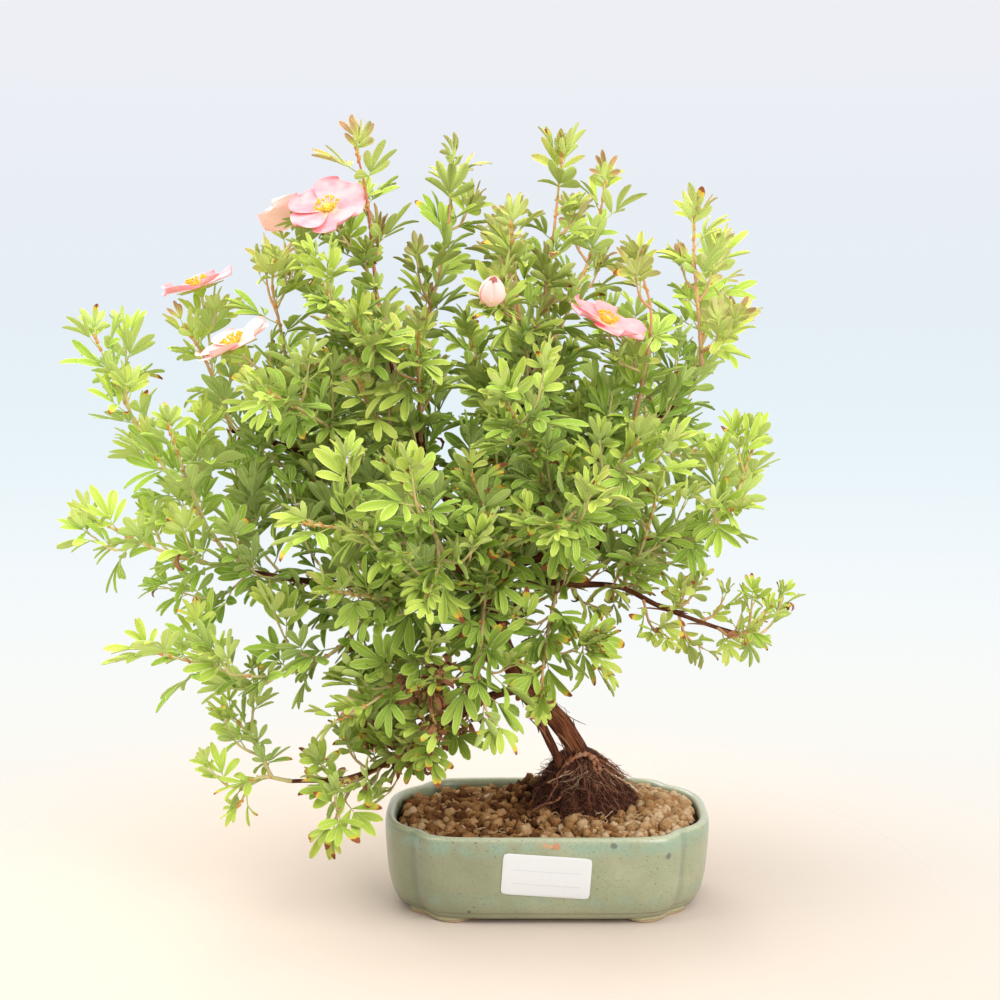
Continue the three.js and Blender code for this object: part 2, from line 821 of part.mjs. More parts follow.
    side: [{ from: 0.15, to: [[-86, 82, 190], [-70, 100, 198]] }],
    colour: GREEN,
  },
  {
    name: "back_b",
    limb: "back",
    from: 1,
    to: [[-6, 90, 208], [2, 102, 222]],
    side: [{ from: 0.2, to: [[-28, 84, 232], [-38, 86, 262]] }],
    colour: GREEN,
  },
  {
    name: "back_c",
    limb: "back_right",
    from: 1,
    to: [[60, 70, 206], [76, 80, 202]],
    side: [{ from: 0.2, to: [[48, 70, 240], [44, 74, 268]] }],
    colour: GREEN,
  },
  {
    name: "back_d",
    limb: "back_left",
    from: 0.75,
    to: [[-112, 46, 182], [-146, 54, 186]],
    side: [{ from: 0.3, to: [[-116, 42, 200], [-124, 42, 220]] }],
    colour: GREEN,
  },
  {
    name: "back_e",
    limb: "back_left",
    from: 0.42,
    to: [[-66, 56, 146], [-82, 84, 134]],
    colour: GREEN,
  },
  {
    name: "back_f",
    limb: "back",
    from: 0.35,
    to: [[-2, 44, 152], [14, 72, 138]],
    colour: GREEN,
  },
  {
    name: "back_g",
    limb: "right_mid",
    from: 0.6,
    to: [[50, 32, 162], [62, 54, 158]],
    colour: GREEN,
  },
  {
    name: "inner_left",
    limb: "crown_left",
    from: 0.82,
    to: [[-84, -18, 258], [-96, -26, 280], [-104, -26, 296]],
    side: [{ from: 0.2, to: [[-80, -38, 260], [-84, -58, 274]] }],
    colour: GREEN,
  },
  {
    name: "inner_back",
    limb: "back_right",
    from: 0.5,
    to: [[4, 46, 214], [-2, 56, 240], [2, 62, 262]],
    side: [
      { from: 0.25, to: [[-14, 50, 222], [-24, 58, 238]] },
      { from: 0.3, to: [[22, 62, 222], [26, 84, 234]] },
    ],
    colour: GREEN,
  },
];

// Each flower: its middle, the way it faces, and where its stalk leaves the shoot

const FLOWERS = {
  a: { middle: [-99, -8, 321], facing: [-0.2, -0.62, 0.76], from: 0.3 },
  b: { middle: [-115, 18, 318], facing: [-0.3, 0.35, 0.88], from: 0.75 },
  c: { middle: [-163, 24, 286], facing: [-0.3, -0.17, 0.94], from: 0.5 },
  d: { middle: [-139, -30, 262], facing: [-0.42, -0.2, 0.88], from: 0.35 },
  e: { middle: [24, -38, 272], facing: [0.42, -0.25, 0.87], from: 0.4 },
  f: { middle: [-82, 32, 76], facing: [-0.2, 0.7, 0.1], from: 0.7 },
};

function shootsOf(spray) {
  const start = curveOf(LIMBS[spray.limb]).getPointAt(spray.from);
  const main = [start, ...spray.to.map(vector)];
  const shoots = [main];
  for (const side of spray.side ?? []) {
    shoots.push([onStem(main, side.from), ...side.to.map(vector)]);
  }
  return shoots;
}

const SHOOT_STEP = 26;

function shootStem(points) {
  return taperedStem(points, (t) => lerp(...STEM_RADIUS, t), STEM_SIDES, SHOOT_STEP);
}

// A point on the stem's own straight stretches, which lie a little inside the smooth curve

function onStem(points, share) {
  const curve = curveOf(points);
  const segments = Math.max(2, Math.round(curve.getLength() / SHOOT_STEP));
  const index = Math.min(segments - 1, Math.floor(share * segments));
  const start = curve.getPointAt(index / segments);
  const end = curve.getPointAt((index + 1) / segments);
  return start.lerp(end, share * segments - index);
}

// A flower's stalk ends in a green cup under the petals

const FLOWER_STALK_RADIUS = 0.75;
const CUP_DEPTH = 4;
const CUP_RADIUS = 3.6;
const CUP_SEAT = PETAL_THICKNESS / 2 + GAP; // from a bloom's middle down to its cup

function flowerStalk(flower, shoot, seat) {
  const start = onStem(shoot, flower.from);
  const facing = vector(flower.facing).normalize();
  const middle = vector(flower.middle);
  const cupBottom = middle.clone().addScaledVector(facing, -CUP_DEPTH - seat);
  const bend = start.clone().lerp(cupBottom, 0.5).addScaledVector(facing, -4);
  const end = cupBottom.clone().addScaledVector(facing, 1);
  const stalk = taperedStem([start, bend, end], () => FLOWER_STALK_RADIUS, STEM_SIDES, 20);
  const profile = [[0, 0], [1.3, 0], [CUP_RADIUS, CUP_DEPTH], [0, CUP_DEPTH]];
  const cup = solid(new THREE.LatheGeometry(profile.map((p) => new THREE.Vector2(...p)), 5));
  const side = Math.abs(facing.z) > 0.9 ? new THREE.Vector3(1, 0, 0) : new THREE.Vector3(0, 0, 1);
  return wasm.Manifold.union([stalk, oriented(cup, cupBottom, facing, side)]);
}

// Petals: five broad blades that share the flower's middle and rise a little to their rim

// Points of a petal's rim: degrees from its middle line, and share of the flower's radius
const PETAL_OUTLINE = [[-30, 0.68], [-19, 0.96], [0, 1], [19, 0.96], [30, 0.68]];

function petals(cupping) {
  const points = [];
  const rise = (reach) => cupping * BLOOM_RADIUS * (reach / BLOOM_RADIUS) ** 2;
  const polar = (degrees, reach, z) => {
    const turn = radians(degrees);
    return points.push([reach * Math.cos(turn), reach * Math.sin(turn), rise(reach) + z]) - 1;
  };
  const half = PETAL_THICKNESS / 2;
  const hubTop = polar(0, 0, half);
  const hubBottom = polar(0, 0, -half);
  const valleys = [];
  for (let petal = 0; petal < 5; petal++) {
    valleys.push(polar(petal * 72 - 36, BLOOM_RADIUS * 0.33, 0));
  }
  const faces = [];
  for (let petal = 0; petal < 5; petal++) {
    const top = polar(petal * 72, BLOOM_RADIUS * 0.6, half);
    const bottom = polar(petal * 72, BLOOM_RADIUS * 0.6, -half);
    const start = valleys[petal];
    const end = valleys[(petal + 1) % 5];
    const rim = PETAL_OUTLINE.map(([turn, share]) => polar(petal * 72 + turn, BLOOM_RADIUS * share, 0));
    const edge = [start, ...rim, end];
    for (let i = 0; i + 1 < edge.length; i++) {
      faces.push([top, edge[i], edge[i + 1]], [bottom, edge[i + 1], edge[i]]);
    }
    faces.push([hubTop, start, top], [hubTop, top, end]);
    faces.push([hubBottom, bottom, start], [hubBottom, end, bottom]);
  }
  return facetSolid(points, faces);
}

// The yellow middle: a low boss whose rim is drawn out into stamens

function stamens() {
  const spikes = 10;
  const rings = [
    [3.2, 3.2, 1.5],
    [5.4, 2.6, 2.8],
    [1.6, 1.6, 4.2],
  ].map(([even, odd, z]) => {
    const ring = [];
    for (let i = 0; i < spikes; i++) {
      const turn = (2 * Math.PI * i) / spikes;
      const reach = i % 2 ? odd : even;
      ring.push([reach * Math.cos(turn), reach * Math.sin(turn), z]);
    }
    return ring;
  });
  return ringStack(rings);
}

function facingSolid(body, flower) {
  const facing = vector(flower.facing).normalize();
  const turn = new THREE.Quaternion().setFromUnitVectors(new THREE.Vector3(0, 0, 1), facing);
  const matrix = new THREE.Matrix4().compose(vector(flower.middle), turn, new THREE.Vector3(1, 1, 1));
  return body.transform(matrix.elements);
}

// A half-open bud: an egg of five folded petals

const BUD = { middle: [-26, -42, 281], facing: [0.1, -0.7, 0.7], from: 0.6 };
const BUD_SPRAY = "crown_c"; // the bud stands on this spray's side shoot

function bud() {
  const profile = [[2.6, 0, 0], [5, 3.5, 0.12], [5.6, 7, 0.16], [4.6, 11, 0.2], [2.4, 14, 0.25]];
  const rings = profile.map(([radius, z, fold]) => {
    const ring = [];
    for (let i = 0; i < 10; i++) {
      const turn = (2 * Math.PI * i) / 10;
      const reach = radius * (1 + (i % 2 ? -fold : fold));
      ring.push([reach * Math.cos(turn), reach * Math.sin(turn), z]);
    }
    return ring;
  });
  return ringStack(rings);
}

// Leaves along a shoot: they turn round it by the golden angle, thin out towards its base, and each is turned
// on, raised or shortened until it is clear of everything else, or is left out

const GOLDEN_ANGLE = 137.5;
const LEAF_MARGIN = 0.25; // kept free round each leaf
const LEAF_ATTEMPTS = 9;
const THREE_LEAFLET_SHARE = 0.6; // of the leaves below a shoot's tip
const LEAFLESS_BASE = 0.2; // share of a shoot, from its root
const UP = new THREE.Vector3(0, 0, 1);

function leafPlacement(tangent, turn, spread) {
  const side = tangent.clone().cross(UP);
  if (side.length() < 0.2) side.set(1, 0, 0);
  side.normalize();
  const out = side.applyAxisAngle(tangent, radians(turn));
  const forward = tangent.clone().multiplyScalar(Math.cos(radians(spread)));
  forward.addScaledVector(out, Math.sin(radians(spread)));
  const upward = UP.clone().multiplyScalar(0.9).addScaledVector(tangent, 0.8).addScaledVector(out, -0.2);
  return { forward, upward };
}

function growLeaves(shoot, draw, leafSize, ownStems) {
  const curve = curveOf(shoot);
  const length = curve.getLength();
  const count = Math.max(2, Math.round(length / LEAF_SPACING));
  const leaves = [];
  let turn = draw() * 360;
  for (let i = 0; i < count; i++) {
    const share = Math.min(1 - (1 - LEAFLESS_BASE) * (i / count) ** 1.15, 0.985);
    const point = onStem(shoot, share);
    const tangent = curve.getTangentAt(share);
    const size = leafSize * lerp(0.82, 1.08, draw()) * (i === 0 ? 0.9 : 1);
    const spread = i === 0 ? 14 : lerp(42, 66, draw());
    const stalk = LEAF_STALK * lerp(0.7, 1.25, draw()) * (i === 0 ? 0.7 : 1);
    const fold = lerp(0.1, 0.35, draw());
    const droop = lerp(-0.05, 0.25, draw());
    const leaflets = i > 0 && draw() < THREE_LEAFLET_SHARE ? THREE_LEAFLETS : FIVE_LEAFLETS;
    turn += GOLDEN_ANGLE;
    for (let attempt = 0; attempt < LEAF_ATTEMPTS; attempt++) {
      const shrink = attempt > 5 ? 0.8 : 1;
      const { forward, upward } = leafPlacement(tangent, turn + attempt * 40, spread - attempt * 2);
      const shape = [leaflets, size * shrink, stalk * shrink, fold, droop];
      const test = oriented(leaf(...shape, LEAF_MARGIN), point, forward, upward);
      if (isClear(test, ownStems)) {
        const body = oriented(leaf(...shape, 0), point, forward, upward);
        leaves.push(body);
        place(body);
        break;
      }
    }
  }
  return leaves;
}

// The whole object

const clearance = woodyFrame(GAP);
const wood = woodyFrame(0);
const potBody = pot();
const soilBody = soil();
const moundBody = rootMound(clearance);
const labelBody = label();

addMesh("pot", potBody, 0x8fb19a, 0.35);
addMesh("drain_net_left", drainNet(-DRAIN_HOLE_X), 0x2e3330, 0.6);
addMesh("drain_net_right", drainNet(DRAIN_HOLE_X), 0x2e3330, 0.6);
addMesh("soil", soilBody, 0x8a6238, 0.95);
addMesh("root_mound", moundBody, 0x3a2418, 0.95);
addMesh("trunk", wood, 0x6b4330, 0.9);
addMesh("label", labelBody, 0xf2f1ee, 0.6);
[potBody, soilBody, moundBody, wood, labelBody].forEach(place);

const stems = new Map();
for (const spray of SPRAYS) {
  const shoots = shootsOf(spray);
  const stalks = (spray.flowers ?? []).map((name) => flowerStalk(FLOWERS[name], shoots[0], CUP_SEAT));
  if (spray.name === BUD_SPRAY) stalks.push(flowerStalk(BUD, shoots[1], GAP));
  const joined = wasm.Manifold.union([...shoots.map(shootStem), ...stalks]).subtract(clearance);
  const body = largestBody(joined);
  if (!isClear(body)) console.warn(spray.name + " crosses another piece");
  stems.set(spray.name, { shoots, body });
  place(body);
}

for (const [name, flower] of Object.entries(FLOWERS)) {
  const blades = facingSolid(petals(0.16), flower);
  const middle = facingSolid(stamens(), flower);
  for (const body of [blades, middle]) {
    if (!isClear(body)) console.warn("bloom " + name + " crosses another piece");
    place(body);
  }
  addMesh("bloom_" + name + "_petals", blades, 0xf0c8bc, 0.55);
  addMesh("bloom_" + name + "_middle", middle, 0xd9a92e, 0.6);
}

const budBody = facingSolid(bud(), BUD);
if (!isClear(budBody)) console.warn("the bud crosses another piece");
place(budBody);
addMesh("bud", budBody, 0xe3a59a, 0.55);

SPRAYS.forEach((spray, index) => {
  const { shoots, body } = stems.get(spray.name);
  const draw = seededDraw(1000 + index * 31);
  const leaves = shoots.flatMap((shoot) => growLeaves(shoot, draw, spray.leafSize ?? 1, [body]));
  addMesh("spray_" + spray.name, wasm.Manifold.union([body, ...leaves]), spray.colour, 0.6);
});

// The origin goes under the middle of the whole
const bounds = new THREE.Box3().setFromObject(root);
const middle = bounds.getCenter(new THREE.Vector3());
root.position.set(-middle.x, -middle.y, 0);

export default root;
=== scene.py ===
"""Shrubby cinquefoil bonsai in a glazed pot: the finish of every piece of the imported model.

Lengths in this script are millimetres from the pot's middle on the table: +X is the viewer's right, -Y the front.
"""

import math

import bpy
import numpy as np
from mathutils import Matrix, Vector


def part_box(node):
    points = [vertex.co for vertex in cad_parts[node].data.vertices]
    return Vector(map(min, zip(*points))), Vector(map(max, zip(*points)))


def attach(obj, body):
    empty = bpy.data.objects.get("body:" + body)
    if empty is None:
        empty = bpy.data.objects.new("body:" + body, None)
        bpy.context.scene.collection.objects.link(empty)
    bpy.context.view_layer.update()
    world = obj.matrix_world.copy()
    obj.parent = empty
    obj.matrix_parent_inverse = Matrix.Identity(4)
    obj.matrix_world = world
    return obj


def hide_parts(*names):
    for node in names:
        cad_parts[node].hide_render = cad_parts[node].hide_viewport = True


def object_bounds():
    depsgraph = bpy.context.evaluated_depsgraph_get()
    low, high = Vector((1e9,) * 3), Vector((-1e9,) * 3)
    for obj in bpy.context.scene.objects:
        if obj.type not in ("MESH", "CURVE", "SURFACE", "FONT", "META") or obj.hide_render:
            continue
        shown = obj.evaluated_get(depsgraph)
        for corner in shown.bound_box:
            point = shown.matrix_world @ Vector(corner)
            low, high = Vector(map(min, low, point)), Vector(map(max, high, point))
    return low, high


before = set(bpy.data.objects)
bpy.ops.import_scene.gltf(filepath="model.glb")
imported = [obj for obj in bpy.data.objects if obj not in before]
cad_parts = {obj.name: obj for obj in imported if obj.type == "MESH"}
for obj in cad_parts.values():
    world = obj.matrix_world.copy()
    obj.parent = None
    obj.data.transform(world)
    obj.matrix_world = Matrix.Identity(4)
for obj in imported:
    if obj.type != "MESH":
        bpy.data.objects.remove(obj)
cad_low, cad_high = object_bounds()
pot_low, pot_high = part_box("pot")
POT_MIDDLE = np.array([(pot_low.x + pot_high.x) / 2, (pot_low.y + pot_high.y) / 2, 0.0])
MM = 0.001

# ---------------------------------------------------------------------------------------------------------------
# Camera: a short telephoto a little under a metre in front of the pot and just left of its middle, looking
# slightly down on the rim.

CAMERA_PLACE = (-22, -870, 310)
CAMERA_DOWN = 7.97  # degrees
CAMERA_LENS = 68.4

camera_data = bpy.data.cameras.new("camera")
camera_data.lens, camera_data.sensor_width = CAMERA_LENS, 36
camera = bpy.data.objects.new("camera", camera_data)
camera.location = POT_MIDDLE + MM * np.array(CAMERA_PLACE)
camera.rotation_euler = (math.radians(90 - CAMERA_DOWN), 0, 0)
bpy.context.scene.collection.objects.link(camera)
bpy.context.scene.camera = camera

# ---------------------------------------------------------------------------------------------------------------
# Studio: a pale sheet under the pot and a bright overcast room, with a broad lamp in front on the right, one over
# the plant's left side, and two weaker ones above and behind it.


def hue(code):
    """The linear colour of a six-digit sRGB code."""
    shares = np.array([int(code[i:i + 2], 16) for i in (0, 2, 4)]) / 255
    return tuple(np.where(shares < 0.04045, shares / 12.92, ((shares + 0.055) / 1.055) ** 2.4))


class Wire:
    """A socket of a shader tree. Arithmetic on it adds the Math nodes that work it out."""

    def __init__(self, finish, socket):
        self.finish, self.socket = finish, socket

    def math(self, operation, first, second=0.0):
        return self.finish.node("Math", {"operation": operation}, {0: first, 1: second})

    def __add__(self, other):
        return self.math("ADD", self, other)

    def __radd__(self, other):
        return self.math("ADD", other, self)

    def __sub__(self, other):
        return self.math("SUBTRACT", self, other)

    def __rsub__(self, other):
        return self.math("SUBTRACT", other, self)

    def __mul__(self, other):
        return self.math("MULTIPLY", self, other)

    def __rmul__(self, other):
        return self.math("MULTIPLY", other, self)

    def __pow__(self, other):
        return self.math("POWER", self, other)

    def step(self, low, high):
        """Rises smoothly from 0 at low to 1 at high."""
        ends = {"Value": self, "From Min": low, "From Max": high}
        return self.finish.node("MapRange", {"interpolation_type": "SMOOTHSTEP"}, ends)

    def band(self, middle, reach):
        """1 at middle, 0 from reach away on."""
        return 1 - self.math("ABSOLUTE", self - middle).step(0, reach)


class Finish:
    """A material round one Principled shader, whose constant sockets are given by name."""

    def __init__(self, name, constants=()):
        self.material = bpy.data.materials.new(name)
        self.material.use_nodes = True
        self.tree = self.material.node_tree
        self.shader = self.tree.nodes["Principled BSDF"]
        self.paint(dict(constants))

    def node(self, kind, settings=(), sockets=(), output=0):
        """Adds a node: its settings first, a ramp's stops among them, then the values or links of its sockets."""
        made = self.tree.nodes.new("ShaderNode" + kind)
        for key, value in dict(settings).items():
            if key == "stops":
                elements = made.color_ramp.elements
                while len(elements) < len(value):
                    elements.new(1)
                for element, (position, colour) in zip(elements, value):
                    element.position, element.color = position, (*colour, 1)
            else:
                setattr(made, key, value)
        for key, value in dict(sockets).items():
            self.feed(made.inputs[key], value)
        return Wire(self, made.outputs[output])

    def feed(self, socket, value):
        """Links a wire to a socket, or sets it to a constant."""
        if isinstance(value, Wire):
            self.tree.links.new(value.socket, socket)
        elif isinstance(value, tuple) and socket.type == "RGBA":
            socket.default_value = (*value, 1)
        else:
            socket.default_value = value

    def paint(self, sockets):
        for key, value in sockets.items():
            self.feed(self.shader.inputs[key], value)

    def place(self, x=1, y=1, z=1):
        """Where the surface is, in millimetres, each axis stretched by a factor."""
        position = self.node("TexCoord", output="Object")
        factors = (x / MM, y / MM, z / MM)
        return self.node("VectorMath", {"operation": "MULTIPLY"}, {0: position, 1: factors})

    def split(self, vector):
        return [self.node("SeparateXYZ", sockets={0: vector}, output=i) for i in range(3)]

    def value(self, name):
        """A number that the piece carries on each of its points."""
        return self.node("Attribute", {"attribute_name": name}, output="Fac")

    def vector(self, name):
        return self.node("Attribute", {"attribute_name": name}, output="Vector")

    def noise(self, place, scale, detail=2.0, roughness=0.5):
        sockets = {"Vector": place, "Scale": scale, "Detail": detail, "Roughness": roughness}
        return self.node("TexNoise", sockets=sockets)

    def ramp(self, value, *stops):
        """The colour at a value between stops, each a position and an sRGB code."""
        stops = [(position, hue(code)) for position, code in stops]
        return self.node("ValToRGB", {"stops": stops}, {0: value}, "Color")

    def over(self, colour, *layers):
        """A colour with others laid over it, each given by its share and by a wire or an sRGB code."""
        for share, upper in layers:
            ends = [hue(end) if isinstance(end, str) else end for end in (colour, upper)]
            colour = self.node("Mix", {"data_type": "RGBA"}, {0: share, 6: ends[0], 7: ends[1]}, 2)
        return colour

    def bump(self, height, depth):
        """Depth in millimetres between height 0 and 1."""
        self.paint({"Normal": self.node("Bump", sockets={"Height": height, "Distance": depth * MM})})


FLOOR_REACH = 2600
FLOOR_FADE = 100, 360  # from here to there the sheet gives way to the room's own light
FLOOR_COLOUR = "c5b6a8"
ROOM_COLOURS = [
    # 0.5 plus half the sine of the height above the horizon, and the colour there
    (0.30, "fdf4e6"), (0.354, "fdf8ef"), (0.384, "fafbf8"), (0.415, "f3f9fc"), (0.446, "e8f4f9"),
    (0.478, "e6eff6"), (0.509, "e9eef5"), (0.554, "eeeff5"), (1.0, "f4f6fa")]
LAMPS = {
    # place, what it points at, width, watts
    "lamp_right": ((1050, -1250, 1050), (0, 0, 150), 1200, 31),
    "lamp_left": ((-1050, -150, 1450), (-60, 0, 220), 1200, 26),
    "lamp_top": ((0, 0, 1900), (0, 0, 200), 1500, 10),
    "lamp_back": ((-500, 1500, 1400), (0, 0, 200), 1000, 14),
}

floor_mesh = bpy.data.meshes.new("floor")
corners = FLOOR_REACH * MM * np.array([(-1, -1, 0), (1, -1, 0), (1, 1, 0), (-1, 1, 0)])
floor_mesh.from_pydata(corners, [], [(0, 1, 2, 3)])
floor = bpy.data.objects.new("floor", floor_mesh)
bpy.context.scene.collection.objects.link(floor)
floor_finish = Finish("pale_sheet", {
    "Roughness": 0.9, "Specular IOR Level": 0.1, "Base Color": hue(FLOOR_COLOUR)})
from_pot = floor_finish.node("VectorMath", {"operation": "LENGTH"}, {0: floor_finish.place()}, "Value")
floor_finish.paint({"Alpha": 1 - from_pot.step(*FLOOR_FADE)})
floor_mesh.materials.append(floor_finish.material)

world = bpy.data.worlds.new("overcast_room")
world.use_nodes = True
bpy.context.scene.world = world
room = Finish.__new__(Finish)  # the world has a tree but no material and no Principled shader
room.tree = world.node_tree
height = room.split(room.node("TexCoord", output="Generated"))[2] * 0.5 + 0.5
room.feed(room.tree.nodes["Background"].inputs["Color"], room.ramp(height, *ROOM_COLOURS))

for name, (place, target, width, watts) in LAMPS.items():
    lamp_data = bpy.data.lights.new(name, "AREA")
    lamp_data.size, lamp_data.energy = width * MM, watts
    lamp = bpy.data.objects.new(name, lamp_data)
    lamp.location = POT_MIDDLE + MM * np.array(place)
    aim = Vector(np.subtract(target, place))
    lamp.rotation_euler = aim.to_track_quat("-Z", "Y").to_euler()
    bpy.context.scene.collection.objects.link(lamp)
bpy.context.scene.view_settings.view_transform = "Standard"

# ---------------------------------------------------------------------------------------------------------------
# Pot: slip-cast stoneware in four lobes under a sage-green glaze, wiped off the feet and the bottom edge before
# firing, where the clay shows tan. The glaze is thin and pale over the lip and speckled with iron.


def skin(points, columns, poles=True, **values):
    """Closed surfaces from rings of points, as a dict of points, faces and values.

    points is (surfaces, points of one, 3): the first pole, the rings one after another and the last pole.
    Neighbouring rings are joined by quads and each pole by a fan of triangles. Without poles the last ring is
    joined to the first. All faces are turned over if the volume inside comes out negative.
    """
    count, size = points.shape[:2]
    ring = np.arange(poles, size - poles).reshape(-1, columns)
    after = np.roll(ring, -1, axis=1)
    ahead, after_ahead = (ring[1:], after[1:]) if poles else (np.roll(ring, -1, 0), np.roll(after, -1, 0))
    rows = len(ahead)
    quads = np.stack([ring[:rows], after[:rows], after_ahead, ahead], -1).reshape(-1, 4)
    fans = np.zeros((0, 3), int)
    if poles:
        first = np.stack([np.zeros(columns, int), after[0], ring[0]], -1)
        last = np.stack([np.full(columns, size - 1), ring[-1], after[-1]], -1)
        fans = np.concatenate([first, last])
    halves = np.concatenate([quads[:, [0, 1, 2]], quads[:, [0, 2, 3]], fans])
    a, b, c = (points[:, halves[:, i]] for i in range(3))
    if (a * np.cross(b, c)).sum() < 0:
        quads, fans = quads[:, ::-1], fans[:, ::-1]
    starts = (np.arange(count) * size)[:, None, None]
    flat = {key: np.broadcast_to(value, (count, size) + np.shape(value)[2:]) for key, value in values.items()}
    return {
        "points": points.reshape(-1, 3),
        "quads": (quads + starts).reshape(-1, 4),
        "fans": (fans + starts).reshape(-1, 3),
        "values": {key: value.reshape((-1,) + value.shape[2:]) for key, value in flat.items()},
    }


def piece(name, skins, finish, smooth=True):
    """One object from several skins, at the origin, with its place in its mesh.

    A skin's values become attributes of its points. Edges between two points whose "rim" is 1 stay sharp.
    """
    starts = np.cumsum([0] + [len(part["points"]) for part in skins])
    points = np.concatenate([part["points"] for part in skins]) * MM + POT_MIDDLE
    fans = np.concatenate([part["fans"] + start for part, start in zip(skins, starts)])
    quads = np.concatenate([part["quads"] + start for part, start in zip(skins, starts)])
    mesh = bpy.data.meshes.new(name)
    mesh.vertices.add(len(points))
    mesh.vertices.foreach_set("co", points.ravel())
    mesh.loops.add(fans.size + quads.size)
    mesh.loops.foreach_set("vertex_index", np.concatenate([fans.ravel(), quads.ravel()]))
    mesh.polygons.add(len(fans) + len(quads))
    first_corners = [np.arange(len(fans)) * 3, fans.size + np.arange(len(quads)) * 4]
    mesh.polygons.foreach_set("loop_start", np.concatenate(first_corners))
    mesh.polygons.foreach_set("use_smooth", np.full(len(mesh.polygons), smooth))
    mesh.update(calc_edges=True)
    shapes = {key: value.shape[1:] for part in skins for key, value in part["values"].items()}
    for key, shape in shapes.items():
        blank = [part["values"].get(key, np.zeros((len(part["points"]),) + shape)) for part in skins]
        values = np.concatenate(blank)
        if key == "rim":
            ends = np.empty(len(mesh.edges) * 2, int)
            mesh.edges.foreach_get("vertices", ends)
            sharp = mesh.attributes.new("sharp_edge", "BOOLEAN", "EDGE")
            sharp.data.foreach_set("value", (values[ends.reshape(-1, 2)] > 0).all(1))
        else:
            attribute = mesh.attributes.new(key, "FLOAT_VECTOR" if shape else "FLOAT", "POINT")
            attribute.data.foreach_set("vector" if shape else "value", values.ravel())
    mesh.materials.append(finish.material)
    made = bpy.data.objects.new(name, mesh)
    bpy.context.scene.collection.objects.link(made)
    return made


# Half length, half width and squareness of the front and back lobes and of the end lobes
POT_LOBES = (62, 49.8, 7), (75.8, 46, 3.2)
CREASE_SHARPNESS = 80
CREASE = (60, 36.6, 0)  # where the lobes cross, with both signs of x and y
POT_WALL_PROFILE = [
    # how far inside the rim's outline, height: out under the foot, up the wall, over the lip and down inside
    (16, 2.4), (9, 2.4), (6.6, 2.45), (5.9, 2.75), (5.4, 3.5), (5.1, 4.3), (4.95, 4.9), (4.75, 5.25), (4.35, 5.5),
    (3.95, 6.2), (2.9, 9), (2, 12.3), (1.3, 16), (0.85, 19.8), (0.6, 23), (0.4, 27), (0.2, 31), (0.05, 35),
    (0, 38), (0.1, 39.6), (0.45, 40.9), (1.1, 41.7), (2, 42), (3, 41.9), (3.9, 41.4), (4.5, 40.5), (4.75, 39),
    (4.8, 36), (5, 30), (5.6, 23), (6.4, 16.5), (7.6, 11.2), (9.8, 8.8), (13, 8.5), (16, 8.5)]
POT_OUTER_WALL = slice(3, 20)  # of the profile, from the bottom edge to the lip
POT_COLUMNS = 288
POT_UNEVENNESS = 0.18  # of the wall, from casting and glazing
FOOT_DEGREES = 20, 47
FOOT_INSETS = 6.2, 17
FOOT_TOP = 4.4
FOOT_RINGS, FOOT_COLUMNS = 14, 24
FOOT_ROUNDNESS = 0.35  # of its section: 1 is an ellipse and 0 a box
FLOOR_PLATE_HEIGHTS = 2.45, 8.45
FLOOR_PLATE_INSET = 13
FLOOR_PLATE_RAYS = 120
DRAIN_HOLE_X, DRAIN_HOLE_RADIUS = 33, 6.5
LIP_GLAZE = 40.8, 42.4  # from here to there the glaze thins out and turns pale
FOOT_GLAZE = 2.4, 3.3  # from here down to there it ends in a ragged edge
LEDGE_HEIGHT = 5.9  # of the small step in the wall above the feet
POT_MARKS = [
    # middle, radius, colour: bare spots where the glaze crawled, and iron spots
    ((-1.9, -49.7, 38.9), 1.3, "c48a60"), ((0.6, -49.7, 38.6), 1.2, "c98e64"),
    ((3.2, -49.7, 38.5), 2.0, "b9774c"),
    ((28.9, -49.5, 38.8), 1.8, "5b5c52"), ((53.9, -46.3, 32.9), 1.8, "5b5c52"),
    ((-33, -49.5, 40.2), 0.9, "6b6650"), ((-36, -45.7, 6.8), 1.1, "57533f"), ((-33.8, -46.4, 9.4), 0.8, "57533f"),
    ((-57, -41, 7.5), 1.3, "e8e0c8")]


def smooth_line(points, step):
    """A centripetal Catmull-Rom curve through points, as points about step apart along it.

    Between two points it is the cubic whose end slopes come from the neighbours, over knots spaced by the
    square root of the distance. The ends are mirrored to get their missing neighbours.
    """
    points = np.asarray(points, float)
    ends = 2 * points[:1] - points[1:2], 2 * points[-1:] - points[-2:-1]
    known = np.concatenate([ends[0], points, ends[1]])
    knots = np.sqrt(np.linalg.norm(np.diff(known, axis=0), axis=1, keepdims=True))
    before, during, after = knots[:-2], knots[1:-1], knots[2:]
    slopes = np.diff(known, axis=0) / knots
    spans = known[2:] - known[:-2]
    slope_in = (slopes[:-2] - spans[:-1] / (before + during) + slopes[1:-1]) * during
    slope_out = (slopes[1:-1] - spans[1:] / (during + after) + slopes[2:]) * during
    t = np.linspace(0, 1, 17)[None, :-1, None]
    start, end = points[:-1, None], points[1:, None]
    curve = (2 * t**3 - 3 * t**2 + 1) * start + (t**3 - 2 * t**2 + t) * slope_in[:, None]
    curve += (3 * t**2 - 2 * t**3) * end + (t**3 - t**2) * slope_out[:, None]
    line = np.concatenate([curve.reshape(-1, points.shape[1]), points[-1:]])
    travelled = np.concatenate([[0], np.cumsum(np.linalg.norm(np.diff(line, axis=0), axis=1))])
    stops = np.linspace(0, travelled[-1], max(2, round(travelled[-1] / step)) + 1)
    return np.stack([np.interp(stops, travelled, axis) for axis in line.T], -1)


def round_turns(count):
    """Angles that part a full turn evenly."""
    return np.linspace(0, 2 * np.pi, count, endpoint=False)


